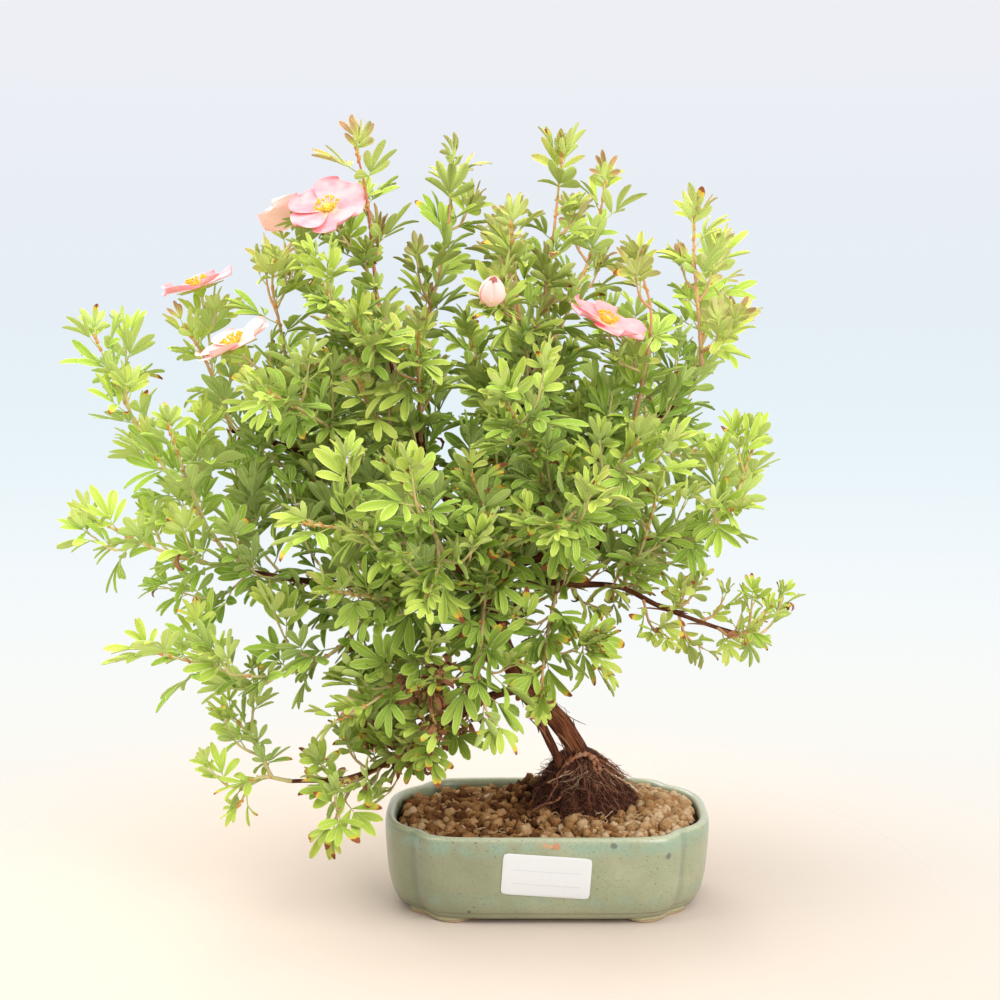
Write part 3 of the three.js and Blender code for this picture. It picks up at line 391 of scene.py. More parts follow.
def pot_outline(degrees, inset):
    """The pot's outline at a turn, drawn in by inset: the outer one of the two lobes' superellipses there.

    It is the power sum of their reaches, whose high power rounds the crease where they cross.
    """
    turn = np.radians(degrees)
    total = 0
    for half_length, half_width, squareness in POT_LOBES:
        sides = np.abs(np.cos(turn)) / (half_length - inset), np.abs(np.sin(turn)) / (half_width - inset)
        total = total + (sides[0] ** squareness + sides[1] ** squareness) ** (-CREASE_SHARPNESS / squareness)
    reach = total ** (1 / CREASE_SHARPNESS)
    return np.stack([reach * np.cos(turn), reach * np.sin(turn)], -1)


def ripple(*angles_and_turns):
    """A smooth unevenness between about -1 and 1: the mean of one sine for each argument."""
    return sum(np.sin(angle) for angle in angles_and_turns) / len(angles_and_turns)


def pot_wall():
    """The wall's profile carried round the outline, with a slow ripple of the clay."""
    profile = smooth_line(POT_WALL_PROFILE, 1.5)
    degrees = np.linspace(0, 360, POT_COLUMNS, endpoint=False)[:, None]
    inset, height = profile[:, 0][None], profile[:, 1][None]
    turn = np.radians(degrees)
    uneven = POT_UNEVENNESS * ripple(3 * turn + height / 9, 7 * turn - height / 6, 16 * turn + height / 4)
    outline = pot_outline(degrees, inset + uneven)
    points = np.concatenate([outline, np.broadcast_to(height[..., None], outline.shape[:2] + (1,))], -1)
    return skin(points.reshape(1, -1, 3), len(profile), poles=False)


def foot_block(mirror_x, mirror_y):
    """A foot: a rounded block bent along the outline between two turns."""
    degrees = np.linspace(*FOOT_DEGREES, FOOT_RINGS)[:, None]
    middle, half = np.mean(FOOT_INSETS), np.ptp(FOOT_INSETS) / 2
    turns = round_turns(FOOT_COLUMNS)[None]
    along = np.linspace(-1, 1, FOOT_RINGS)[:, None]
    full = (1 - along**8) ** 0.25 * 0.3 + 0.7
    boxy = [np.sign(part) * np.abs(part) ** FOOT_ROUNDNESS for part in (np.cos(turns), np.sin(turns))]
    inset = middle + half * full * boxy[0]
    height = FOOT_TOP / 2 + FOOT_TOP / 2 * full * boxy[1]
    outline = pot_outline(degrees + 0 * turns, inset) * (mirror_x, mirror_y)
    points = np.concatenate([outline, height[..., None]], -1)
    ends = points[0].mean(0), points[-1].mean(0)
    return skin(np.concatenate([ends[0][None], points.reshape(-1, 3), ends[1][None]])[None], FOOT_COLUMNS)


def floor_plate(side):
    """Half of the floor: rays from the drain hole's middle out to the wall and to the pot's middle line."""
    turns = round_turns(FLOOR_PLATE_RAYS)
    middle = np.array([side * DRAIN_HOLE_X, 0])
    rays = np.stack([np.cos(turns), np.sin(turns)], -1)
    reaches = np.linspace(DRAIN_HOLE_RADIUS, 60, 400)
    tries = middle + rays[:, None] * reaches[None, :, None]
    edge = pot_outline(np.degrees(np.arctan2(tries[..., 1], tries[..., 0])), FLOOR_PLATE_INSET)
    inside = (np.linalg.norm(tries, axis=-1) < np.linalg.norm(edge, axis=-1)) & (tries[..., 0] * side > 0)
    outer = middle + rays * reaches[inside.sum(1) - 1][:, None]
    inner = middle + rays * DRAIN_HOLE_RADIUS
    low, high = FLOOR_PLATE_HEIGHTS
    corners = [(inner, low), (outer, low), (outer, high), (inner, high)]
    points = np.stack([np.column_stack([line, np.full(len(line), height)]) for line, height in corners], 1)
    return skin(points.reshape(1, -1, 3), 4, poles=False)


def glaze():
    """Green glaze, coloured by place and noise, that gives way to bare tan clay at the feet.

    It is pale over the lip, blue-green under it and dark in the creases. Over the left of the front it is
    darkened with painted shade, where the plant's shade falls, and iron specks show all over it.
    """
    finish = Finish("sage_glaze", {"Coat Roughness": 0.15, "Specular IOR Level": 0.45})
    place = finish.place()
    x, _, height = finish.split(place)
    cloud, fine = finish.noise(place, 0.045, 4, 0.6), finish.noise(place, 0.9, 3)
    drift = finish.noise(place, 0.1, 3).step(0.35, 0.65)
    from_middle = x - POT_MIDDLE[0] / MM
    # Painted shade: the left of the front is darkened where the plant's shade falls on it.
    thick = (1 - from_middle.step(-45, 5)) * (0.5 + 0.5 * from_middle.step(-80, -50))
    flat = {0: finish.place(1, 1, 0), 1: tuple(POT_MIDDLE / MM)}
    folded = finish.node("VectorMath", {"operation": "SUBTRACT"}, flat)
    folded = finish.node("VectorMath", {"operation": "ABSOLUTE"}, {0: folded})
    from_crease = finish.node("VectorMath", {"operation": "DISTANCE"}, {0: folded, 1: CREASE}, "Value")
    freckles = finish.noise(place, 0.8, 3, 0.75).step(0.52, 0.7)
    specks = finish.noise(place, 1.0, 1).step(0.705, 0.75)
    ledge = (height + cloud).band(LEDGE_HEIGHT, 0.7)
    ragged = height + cloud * 3 + fine * 1.2
    bare = 1 - ragged.step(*FOOT_GLAZE)
    colour = finish.over(
        finish.ramp(cloud, (0.3, "8a8f6f"), (0.5, "949777"), (0.7, "9fa07f")),
        (finish.noise(place, 0.16, 4).step(0.5, 0.68) * 0.12, "a89a80"),
        # painted shade over the left of the front
        (thick * 0.56, "6f7356"),
        ((1 - from_crease.step(0.8, 4.5)) * (0.3 + drift * 0.3), "5c6a50"),
        (height.band(37.5, 6) * drift * 0.6, "7fa08a"),
        (height.band(12, 6) * drift * 0.4, "83a08a"),
        ((height + fine * 1.5).step(*LIP_GLAZE) * 0.6, "b9bc9c"),
        (freckles * 0.38, "6d6647"),
        (specks * 0.7, "4f4936"),
        (ledge * 0.45, "6a6448"),
        ((1 - height.step(2, 2.9)) * 0.5, "b3a678"),
        (ragged.band(3.2, 0.7) * 0.6, "7a6546"),
        (bare, finish.over("b58a62", (fine, "d2b08a"))))
    for middle, size, stain in POT_MARKS:
        middle = tuple(POT_MIDDLE / MM + middle)
        away = finish.node("VectorMath", {"operation": "DISTANCE"}, {0: place, 1: middle}, "Value")
        spot = 1 - (away + (fine - 0.5) * size * 1.2).step(size * 0.6, size)
        colour = finish.over(colour, (spot * 0.85, stain))
    finish.paint({"Base Color": colour, "Roughness": 0.34 + bare * 0.45 + fine * 0.1})
    finish.paint({"Coat Weight": 0.45 - bare * 0.45})
    finish.bump(cloud * 0.5 + fine * (0.12 + bare * 0.3) - specks * 0.15 - ledge * 0.3, 0.45)
    return finish


feet = [foot_block(x, y) for x in (-1, 1) for y in (-1, 1)]
pot = piece("pot_glazed", [pot_wall(), floor_plate(-1), floor_plate(1), *feet], glaze())
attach(pot, "root")
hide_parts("pot")

# ---------------------------------------------------------------------------------------------------------------
# Drain nets: squares of black polythene mesh over the two drain holes, which keep the granules in. They are cut
# from a roll and stay as the CAD gives them.

net_finish = Finish("black_polythene", {"Specular IOR Level": 0.4})
net_wear = net_finish.noise(net_finish.place(), 0.4, 3)
net_finish.paint({"Base Color": net_finish.over("1c1f1e", (net_wear, "3a3d3a"))})
net_finish.paint({"Roughness": 0.45 + net_wear * 0.25})
net_finish.bump(net_finish.noise(net_finish.place(), 2.5, 2), 0.1)
for name in ("drain_net_left", "drain_net_right"):
    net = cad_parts[name]
    net.data.materials.clear()
    net.data.materials.append(net_finish.material)

# ---------------------------------------------------------------------------------------------------------------
# Label: a small white paper sticker with rounded corners on the front wall, a little askew. It is left blank but
# for two faint ruled lines.

LABEL_SIZE = 40, 19.5
LABEL_CORNER = 1.8
LABEL_THICKNESS = 0.3
LABEL_MIDDLE = -1.2, 24.5  # x and z
LABEL_TILT = -4  # degrees
LABEL_GAP = 0.12  # under it, of glue and the wall's unevenness
LABEL_COLUMNS = 96
LABEL_RINGS = [
    # share of the outline, share of the thickness
    (0.12, 1), (0.3, 1), (0.5, 1), (0.7, 1), (0.88, 1), (0.985, 1), (1, 0.75), (1, 0.2), (0.985, 0), (0.7, 0),
    (0.3, 0)]
LABEL_RULES = 2.2, -4.2  # heights of the two lines over its middle
LABEL_RULE_REACH = 16.6


def wall_depth(x, z):
    """How far the front wall stands out at a place on it: the superellipse solved for its depth."""
    profile = np.array(POT_WALL_PROFILE[POT_OUTER_WALL])
    inset = np.interp(z, profile[:, 1], profile[:, 0])
    half_length, half_width, squareness = POT_LOBES[0]
    share = (np.abs(x) / (half_length - inset)) ** squareness
    return (half_width - inset) * (1 - share) ** (1 / squareness)


def label_sheet():
    """A rounded rectangle of rings that shrink to its middle, laid on the wall, front and back."""
    half = np.array(LABEL_SIZE) / 2
    turns = round_turns(LABEL_COLUMNS) + 0.01
    corner = np.stack([np.cos(turns), np.sin(turns)], -1)
    outline = np.sign(corner) * (half - LABEL_CORNER) + LABEL_CORNER * corner
    spread = np.abs(corner).max(1, keepdims=True)
    box = np.clip(corner / spread * half, -half, half)
    near_corner = (np.abs(box) > half - LABEL_CORNER).all(1, keepdims=True)
    outline = np.where(near_corner, outline, box)
    shares, lifts = np.array(LABEL_RINGS).T
    flat = np.concatenate([outline[:1] * 0, *[outline * share for share in shares], outline[:1] * 0])
    lift = np.concatenate([[1], np.repeat(lifts, LABEL_COLUMNS), [0]])
    tilt = math.radians(LABEL_TILT)
    x = LABEL_MIDDLE[0] + flat[:, 0] * math.cos(tilt) - flat[:, 1] * math.sin(tilt)
    z = LABEL_MIDDLE[1] + flat[:, 0] * math.sin(tilt) + flat[:, 1] * math.cos(tilt)
    y = -wall_depth(x, z) - LABEL_GAP - lift * LABEL_THICKNESS
    sheet_place = np.concatenate([flat, lift[:, None]], -1)
    return skin(np.stack([x, y, z], -1)[None], LABEL_COLUMNS, sheet=sheet_place[None])


paper = Finish("sticker_paper", {"Roughness": 0.55, "Specular IOR Level": 0.35})
across, up, _ = paper.split(paper.vector("sheet"))
fibres = paper.noise(paper.place(), 1.2, 3)
upper_rule, lower_rule = (up.band(height, 0.28) for height in LABEL_RULES)
rules = (upper_rule + lower_rule) * across.band(0, LABEL_RULE_REACH).step(0, 0.02)
paper.paint({"Base Color": paper.over("cccbc8", (fibres, "d6d5d2"), (rules * 0.35, "8f9297"))})
paper.bump(fibres, 0.05)
label = piece("label_paper", [label_sheet()], paper)
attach(label, "root")
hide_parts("label")

# ---------------------------------------------------------------------------------------------------------------
# Soil: broken granules of baked clay, tan to brown, heaped a little round the root mound. Their colour carries
# painted shade on the left and painted light on the right and on each granule's top. They were scooped in round
# the roots, so they lie loose, two deep over a bed of the same.

SOIL_LEVEL = 37
SOIL_BOTTOM = 10.4
SOIL_INSETS = 5.3, 10.5  # of its edge from the rim's outline, at the top and at the bottom
SOIL_RINGS, SOIL_COLUMNS = 22, 120
MOUND_MIDDLE = np.array([19, 2])
GRANULE_SPACING = 4.3
GRANULE_SIZES = 1.6, 5.2  # half lengths
GRANULE_COLUMNS = 7
GRANULE_LAYER = 0.9  # from one layer up to the next
GRANULE_BREAKING = 0.7, 1.22  # how far in or out its points are moved
GRANULE_SHAPES = (0.85, 0.78, 0.7), (1.15, 1.05, 0.95)  # the least and most stretch of its three axes
UNDER_RIM = 40, 41.6  # the highest that granules reach by the wall, on the left and on the far right
MOUND_ROOM = 24  # no granule's middle is nearer to the mound's
ROOTLET_COUNT, ROOTLET_POINTS = 60, 9
ROOTLET_REACH = 66, 43  # half axes of the oval they lie in


def soil_height(x, y):
    """The heap: a dome round the mound and a low one at the back left, on the level."""
    to_mound = np.hypot((x - MOUND_MIDDLE[0]) / 1.15, y - MOUND_MIDDLE[1])
    dome = 6 * np.exp(-(((to_mound - 20) / 16) ** 2))
    right = 2 * np.clip((x - 20) / 30, 0, 1)
    return SOIL_LEVEL - 1 + dome + right + 7 * np.exp(-(((x + 6) / 16) ** 2) - ((y - 20) / 12) ** 2)


def soil_bed():
    """The heap's surface over rings that fill the pot's outline, closed below."""
    degrees = np.linspace(0, 360, SOIL_COLUMNS, endpoint=False)
    shares = np.linspace(0.06, 1, SOIL_RINGS)
    rims = pot_outline(degrees, SOIL_INSETS[0])[None] * shares[:, None, None]
    height = soil_height(rims[..., 0], rims[..., 1])
    bed = np.concatenate([rims, height[..., None]], -1).reshape(-1, 3)
    low = np.column_stack([pot_outline(degrees, SOIL_INSETS[1]), np.full(SOIL_COLUMNS, SOIL_BOTTOM)])
    poles = [(0, 0, soil_height(0, 0)), (0, 0, SOIL_BOTTOM)]
    return skin(np.concatenate([poles[:1], bed, low, poles[1:]])[None], SOIL_COLUMNS)


def turned(rng, count):
    """Random rotations, from normalised random quaternions."""
    w, x, y, z = np.split(rng.normal(size=(4, count)), 4)
    size = np.sqrt(w**2 + x**2 + y**2 + z**2)
    w, x, y, z = (part[0] / size[0] for part in (w, x, y, z))
    return np.stack([
        1 - 2 * (y * y + z * z), 2 * (x * y - w * z), 2 * (x * z + w * y),
        2 * (x * y + w * z), 1 - 2 * (x * x + z * z), 2 * (y * z - w * x),
        2 * (x * z - w * y), 2 * (y * z + w * x), 1 - 2 * (x * x + y * y),
    ], -1).reshape(-1, 3, 3)


def granules():
    """Lumps with broken corners: each is a small globe whose points are moved in or out and then turned.

    They lie on three shifted grids, one a little over another. The tint runs from 0, dark, to 1, pale: it is
    lower by the mound and, as painted shade, on the left, higher on the right as painted light, and each granule
    is painted paler on top and darker below, as if lit from above.
    """
    rng = np.random.default_rng(11)
    steps = [np.arange(-74, 75, GRANULE_SPACING), np.arange(-48, 49, GRANULE_SPACING * 0.87)]
    grid = np.stack(np.meshgrid(*steps), -1).reshape(-1, 2)
    middles = np.concatenate([grid, grid + GRANULE_SPACING / 2, grid + (GRANULE_SPACING / 2, 0)])
    middles = middles + rng.uniform(-0.5, 0.5, middles.shape) * GRANULE_SPACING
    layer = np.repeat([0, 1, 2], len(grid))
    half = GRANULE_SIZES[0] + (GRANULE_SIZES[1] - GRANULE_SIZES[0]) * rng.beta(1.6, 3.2, len(middles))
    edge = pot_outline(np.degrees(np.arctan2(middles[:, 1], middles[:, 0])), 5.2)
    room = np.linalg.norm(edge, axis=1) - np.linalg.norm(middles, axis=1)
    to_mound = np.linalg.norm(middles - MOUND_MIDDLE, axis=1)
    kept = (room > half * 0.9) & (to_mound > MOUND_ROOM) & ~((layer == 2) & (rng.random(len(half)) < 0.55))
    middles, half, layer, room, to_mound = (part[kept] for part in (middles, half, layer, room, to_mound))
    count = len(half)
    height = soil_height(*middles.T) + layer * GRANULE_LAYER - 0.6 + rng.uniform(-0.5, 0.9, count)
    under_rim = np.where(middles[:, 0] > 25, UNDER_RIM[1], UNDER_RIM[0]) - half * 0.6
    height = np.where(room < 8, np.minimum(height, under_rim), height)
    turns = round_turns(GRANULE_COLUMNS)
    lift = np.sin(np.radians([-45, 0, 45]))[:, None]
    globe = np.stack(np.broadcast_arrays(
        np.sqrt(1 - lift**2) * np.cos(turns), np.sqrt(1 - lift**2) * np.sin(turns), lift), -1).reshape(-1, 3)
    globe = np.concatenate([[(0, 0, -0.8)], globe, [(0, 0, 0.8)]])
    broken = globe * rng.uniform(*GRANULE_BREAKING, (count, len(globe), 1))
    broken = broken * (half[:, None] * rng.uniform(*GRANULE_SHAPES, (count, 3)))[:, None]
    lumps = np.einsum("nij,nvj->nvi", turned(rng, count), broken)
    points = lumps + np.column_stack([middles, height])[:, None]
    # Painted shade and light: darker by the mound, darker on the left where the plant's shade falls, paler on the
    # right where the lamp falls.
    mound_dark_and_painted_shade = np.exp(-(((to_mound - MOUND_ROOM) / 14) ** 2)) * 0.6 + 0.7 * (middles[:, 0] < -5)
    painted_light_right = 0.14 * np.clip(middles[:, 0] / 30, 0, 1)
    tint = np.clip(rng.beta(4.5, 4, count) * 1.12 + painted_light_right - mound_dark_and_painted_shade * rng.uniform(0.2, 0.6, count), 0, 1)
    # Painted light and shade on each granule: paler on its top and darker underneath, as if lit from above.
    tint = tint[:, None] + 0.26 * lumps[..., 2] / half[:, None]
    return skin(points, GRANULE_COLUMNS, tint=tint)


def unit(vectors):
    return vectors / np.linalg.norm(vectors, axis=-1, keepdims=True)


def tubes(lines, radius, columns, **values):
    """Closed tubes along lines of points (tubes, points, 3).

    Each ring is a circle square to its line, of a radius that may differ from point to point and round the ring,
    set out from a fixed axis that the line never follows. The ends are closed by a point half a radius on.
    """
    ahead = unit(np.gradient(lines, axis=1))
    axis = np.eye(3)[np.abs(ahead).max(1).argmin(-1)][:, None]
    side = unit(np.cross(ahead, axis))
    up = np.cross(side, ahead)
    turns = round_turns(columns)
    radius = np.broadcast_to(radius, lines.shape[:2]) if np.ndim(radius) < 3 else radius
    radius = radius[..., None, None] if radius.ndim < 3 else radius[..., None]
    rings = side[:, :, None] * np.cos(turns)[:, None] + up[:, :, None] * np.sin(turns)[:, None]
    rings = (lines[:, :, None] + rings * radius).reshape(len(lines), -1, 3)
    half = radius.mean((2, 3))[..., None] / 2
    first = lines[:, :1] - ahead[:, :1] * half[:, :1]
    last = lines[:, -1:] + ahead[:, -1:] * half[:, -1:]
    spread = {}
    for key, value in values.items():
        value = np.broadcast_to(value, lines.shape[:2])
        spread[key] = np.concatenate([value[:, :1], np.repeat(value, columns, axis=1), value[:, -1:]], 1)
    return skin(np.concatenate([first, rings, last], 1), columns, **spread)


def rootlets():
    """Pale bits of fine root that lie curled on the granules: lines that turn at a rate of their own."""
    rng = np.random.default_rng(13)
    one, each = (ROOTLET_COUNT, 1), (ROOTLET_COUNT, ROOTLET_POINTS)
    turn = rng.uniform(0, 2 * np.pi, one) + rng.normal(0, 0.35, one) * np.arange(ROOTLET_POINTS)
    turn = turn + rng.normal(0, 0.3, each).cumsum(1)
    stride = rng.uniform(0.6, 1.5, one)
    start = rng.uniform((-66, -40), (60, -18), (ROOTLET_COUNT, 2))
    x = start[:, :1] + (stride * np.cos(turn)).cumsum(1)
    y = start[:, 1:] + (stride * np.sin(turn)).cumsum(1)
    z = soil_height(x, y) + 3.2 + rng.normal(0, 0.35, each).cumsum(1)
    inside = (np.hypot(x / ROOTLET_REACH[0], y / ROOTLET_REACH[1]) < 1).all(1)
    lines = np.stack([x, y, z], -1)[inside]
    return tubes(lines, rng.uniform(0.12, 0.3, (len(lines), 1)), 4, tint=rng.uniform(0.75, 1.1, (len(lines), 1)))


granule_finish = Finish("baked_clay_granules", {"Roughness": 0.95, "Specular IOR Level": 0.15})
# The tint holds each granule's own colour together with painted shade and painted light.
tint = granule_finish.value("tint")
crumb = granule_finish.noise(granule_finish.place(), 0.9, 5, 0.75)
clay_colour = granule_finish.ramp(
    tint + (crumb - 0.5) * 0.85,
    (0.0, "3c1f0c"), (0.28, "7a4c26"), (0.52, "ad7b49"), (0.76, "d2a471"), (1.0, "edcba0"))
granule_finish.paint({"Base Color": clay_colour})
granule_finish.bump(crumb, 2.2)
soil = piece("soil_granules", [soil_bed(), granules(), rootlets()], granule_finish)
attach(soil, "root")
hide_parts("soil")

# ---------------------------------------------------------------------------------------------------------------
# Root mound: the root ball of a field-grown plant, trimmed to a cone and set high. It is matted with fine dark
# roots that stick out all round, and thicker grey-tan ones run down from the trunk over it.

MOUND_PROFILE = np.array([
    # radius, height, how far the middle leans to the left
    (26, 30, 0), (26.5, 36, 0), (25.5, 41, 0.2), (23.3, 46, 0.6), (19.6, 52, 1.6), (15, 59, 2.6), (11, 64.5, 3.4),
    (8, 68, 4), (4, 70.5, 4.3)])
SURFACE_ROOTS = [
    [(12, -3, 69), (6, -12, 61), (1, -18, 51), (-2, -19, 42)],
    [(14, -3, 71), (18, -12, 62), (24, -18, 53), (26, -21, 44)],
    [(9, 2, 68), (0, 8, 58), (-4, 12, 48), (-6, 15, 42)],
    [(18, 5, 68), (24, 14, 60), (30, 19, 50), (33, 21, 43)],
    [(13, 5, 68), (12, 15, 58), (12, 22, 48), (11, 25, 43)],
    [(10, -1, 67), (2, -6, 58), (-4, -9, 49), (-9, -12, 42)],
]
SINGLE_ROOTS = [
    # line, radius, paleness: a red-brown one over the front, two that knot at the trunk's foot, two pale ones
    ([(7, -15, 54), (5.5, -17.5, 51), (1, -19.5, 49.5), (-4, -20.5, 48), (-8, -21.5, 44.5)], 0.52, 0.38),
    ([(9, -7, 63), (11.5, -8, 67), (15, -8.5, 69), (19, -8.5, 69.5), (21.5, -8.5, 67), (22, -9, 60)],
     1.25, 0.62),
    ([(19, -8.5, 70), (23, -9, 67), (24.5, -10, 60)], 1.0, 0.5),
    ([(26, -6, 62), (33, -7, 58), (39, -8, 54.5), (45, -8, 49)], 0.5, 0.85),
    ([(12, -9, 63), (6, -12, 60), (0, -13, 57)], 0.45, 0.65),
]
ROOT_WAVER = 0.25  # of a single root's line
ROOT_KNOBS = 0.6, 1.25  # the least and most of its thickness
FIBRE_COUNT = 1900
FIBRE_LENGTHS = 4, 13
MOUND_RINGS, MOUND_COLUMNS = 40, 120


def mound_point(turn, height):
    """A place on the cone: its profile at that height, with ridges that run down it."""
    radius, lean = (np.interp(height, MOUND_PROFILE[:, 1], MOUND_PROFILE[:, i]) for i in (0, 2))
    steep = np.clip((height - 38) / 12, 0, 1) * np.clip((70 - height) / 8, 0, 1)
    ridge = ripple(7 * turn + height * 0.05, 13 * turn - height * 0.08, 23 * turn + height * 0.11)
    radius = radius * (1 + 0.1 * steep * ridge)
    x = MOUND_MIDDLE[0] - lean + radius * np.cos(turn)
    return np.stack(np.broadcast_arrays(x, MOUND_MIDDLE[1] + radius * np.sin(turn), height), -1)


def mound_cone():
    """The profile carried round with its ridges, closed above and below."""
    turns = round_turns(MOUND_COLUMNS)[None]
    heights = np.linspace(*MOUND_PROFILE[[0, -1], 1], MOUND_RINGS)[:, None]
    cone = mound_point(turns + 0 * heights, heights + 0 * turns)
    poles = cone[:1, :].mean(1), cone[-1:, :].mean(1)
    return skin(np.concatenate([poles[0], cone.reshape(-1, 3), poles[1]])[None], MOUND_COLUMNS)


def fine_roots():
    """Hair-thin roots: each starts on the cone, runs mostly down and round it and bends off it to its end."""
    rng = np.random.default_rng(23)
    turn = rng.uniform(0, 2 * np.pi, FIBRE_COUNT)
    height = 38 + 31 * rng.beta(1.2, 1.3, FIBRE_COUNT)
    length = rng.uniform(*FIBRE_LENGTHS, FIBRE_COUNT)
    round_share = rng.normal(0, 0.8, FIBRE_COUNT)
    steps = np.linspace(0, 1, 6)[None]
    heading = height[:, None] - length[:, None] * steps * np.cos(np.clip(round_share, -1.4, 1.4))[:, None]
    reach = 6 + 0.55 * (70 - height[:, None])
    turning = turn[:, None] + length[:, None] * steps * np.sin(round_share)[:, None] / reach
    lines = mound_point(turning, np.clip(heading, 33, 70))
    outward = unit(np.stack([np.cos(turning), np.sin(turning), 0.35 + 0 * turning], -1))
    loose = rng.exponential(0.9, FIBRE_COUNT)[:, None] * steps**1.6 * 2.2
    waver = rng.normal(0, 0.55, lines.shape) * steps[..., None]
    lines = lines + outward * (0.15 + np.minimum(loose, 5.5))[..., None] + waver
    thick = rng.uniform(0.1, 0.27, FIBRE_COUNT)[:, None] * (1.15 - 0.75 * steps)
    high_right = (height > 56) & (np.cos(turn) > -0.1)
    pale = np.clip(rng.normal(0.15, 0.22, FIBRE_COUNT) + high_right * 0.25, 0, 1)[:, None]
    return tubes(lines, thick, 3, tint=pale)


def thick_roots():
    """Roots that run down from the trunk, thinning and winding a little, and their thinner companions."""
    rng = np.random.default_rng(29)
    lines = np.array([smooth_line(points, 3)[:11] for points in SURFACE_ROOTS])
    steps = np.linspace(0, 1, 11)[None]
    thinner = np.repeat(lines, 3, axis=0)
    swing = rng.normal(0, 3.4, (len(thinner), 1, 3)) * steps[..., None] + rng.normal(0, 0.7, thinner.shape)
    skins = [tubes(lines + rng.normal(0, 0.5, lines.shape), 0.5 - 0.3 * steps, 6, tint=0.15 - 0.1 * steps)]
    skins.append(tubes(thinner + swing, 0.36 - 0.2 * steps, 4, tint=rng.uniform(0, 0.4, (len(thinner), 1))))
    for points, thick, pale in SINGLE_ROOTS:
        line = smooth_line(points, 1)[None]
        line = line + rng.normal(0, ROOT_WAVER, line.shape)
        shade = pale + rng.uniform(-0.25, 0.15, line.shape[:2])
        skins.append(tubes(line, thick * rng.uniform(*ROOT_KNOBS, line.shape[:2]), 6, tint=shade))
    return skins


mound_finish = Finish("matted_roots", {"Roughness": 0.9, "Specular IOR Level": 0.2})
tint = mound_finish.value("tint")
mat = mound_finish.noise(mound_finish.place(1, 1, 0.35), 0.9, 5, 0.7)
root_colour = mound_finish.ramp(
    tint + (mat - 0.5) * 0.4,
    (0.0, "412318"), (0.25, "6e4431"), (0.45, "9c6042"), (0.7, "b38e6c"), (1.0, "d8c0a0"))
mound_finish.paint({"Base Color": root_colour})
mound_finish.bump(mat, 1.2)
mound = piece("root_mound_matted", [mound_cone(), fine_roots(), *thick_roots()], mound_finish)
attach(mound, "root")
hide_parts("root_mound")

# ---------------------------------------------------------------------------------------------------------------
# Trunk and limbs: two stems that lean left and join, and the thirteen limbs that carry the young shoots. The bark
# is red-brown and fibrous, splits along the stem and lifts off in narrow papery strips.

TRUNK = [
    (18.3, 2, 60), (14, 0, 70), (5.8, 0, 83), (-4.8, 0, 94), (-13.5, 0, 105), (-20.5, 1, 120), (-24, 2, 138),
    (-22, 3, 158), (-18, 4, 180)]
SIDE_STEM = [(7.5, -4, 58), (5, -4, 66.5), (0.2, -4, 77), (-4.6, -3, 87), (-11, -1, 99)]
LIMBS = {
    "crown_left": [(-23, 2, 140), (-38, 1, 172), (-54, 0, 205), (-68, -1, 238), (-76, 0, 262)],
    "upper_left": [(-30, 1, 156), (-60, 8, 182), (-92, 12, 200), (-122, 10, 212), (-146, 5, 220)],
    "left": [(-18, 1, 118), (-45, -6, 137), (-78, -12, 149), (-112, -14, 153), (-142, -13, 158)],
    "low_left": [(-8, 0, 100), (-28, -6, 96), (-47, -10, 84), (-68, -15, 71), (-92, -18, 61), (-118, -20, 60)],
    "crown_mid": [(-18, 4, 174), (-15, 6, 205), (-10, 6, 235), (-6, 4, 262)],
    "right_upper": [(-19, 4, 172), (5, 3, 195), (32, 0, 214), (56, -3, 232), (70, -4, 250)],
    "right_mid": [(-22, 3, 156), (12, 5, 164), (44, 6, 168), (70, 6, 173)],
    "right_low": [(-23, 2, 144), (-8, 0, 150), (10, -2, 149), (33, -3, 148), (52, -4, 139), (76, -5, 130),
                  (89, -5, 126)],
    "front": [(-22, 2, 132), (-28, -22, 146), (-36, -46, 160), (-46, -66, 174)],
    "front_right": [(-21, 3, 162), (-2, -20, 178), (14, -42, 192)],
    "back": [(-23, 3, 148), (-20, 28, 168), (-16, 52, 186), (-12, 72, 200)],
    "back_left": [(-23, 2, 134), (-50, 26, 156), (-76, 48, 170), (-96, 62, 180)],
    "back_right": [(-20, 4, 168), (4, 26, 186), (28, 46, 202), (46, 58, 212)],
}
TRUNK_RADIUS = 4.2, 3.4
TRUNK_SWELLING = 1.3, 0.34, 0.16  # where the stems join: extra radius, share of the length, width
SIDE_STEM_RADIUS = 1.95
LIMB_RADIUS = 2.7, 1.1
THIN_LIMBS = {"right_low": 0.7, "low_left": 0.8}  # share of that radius


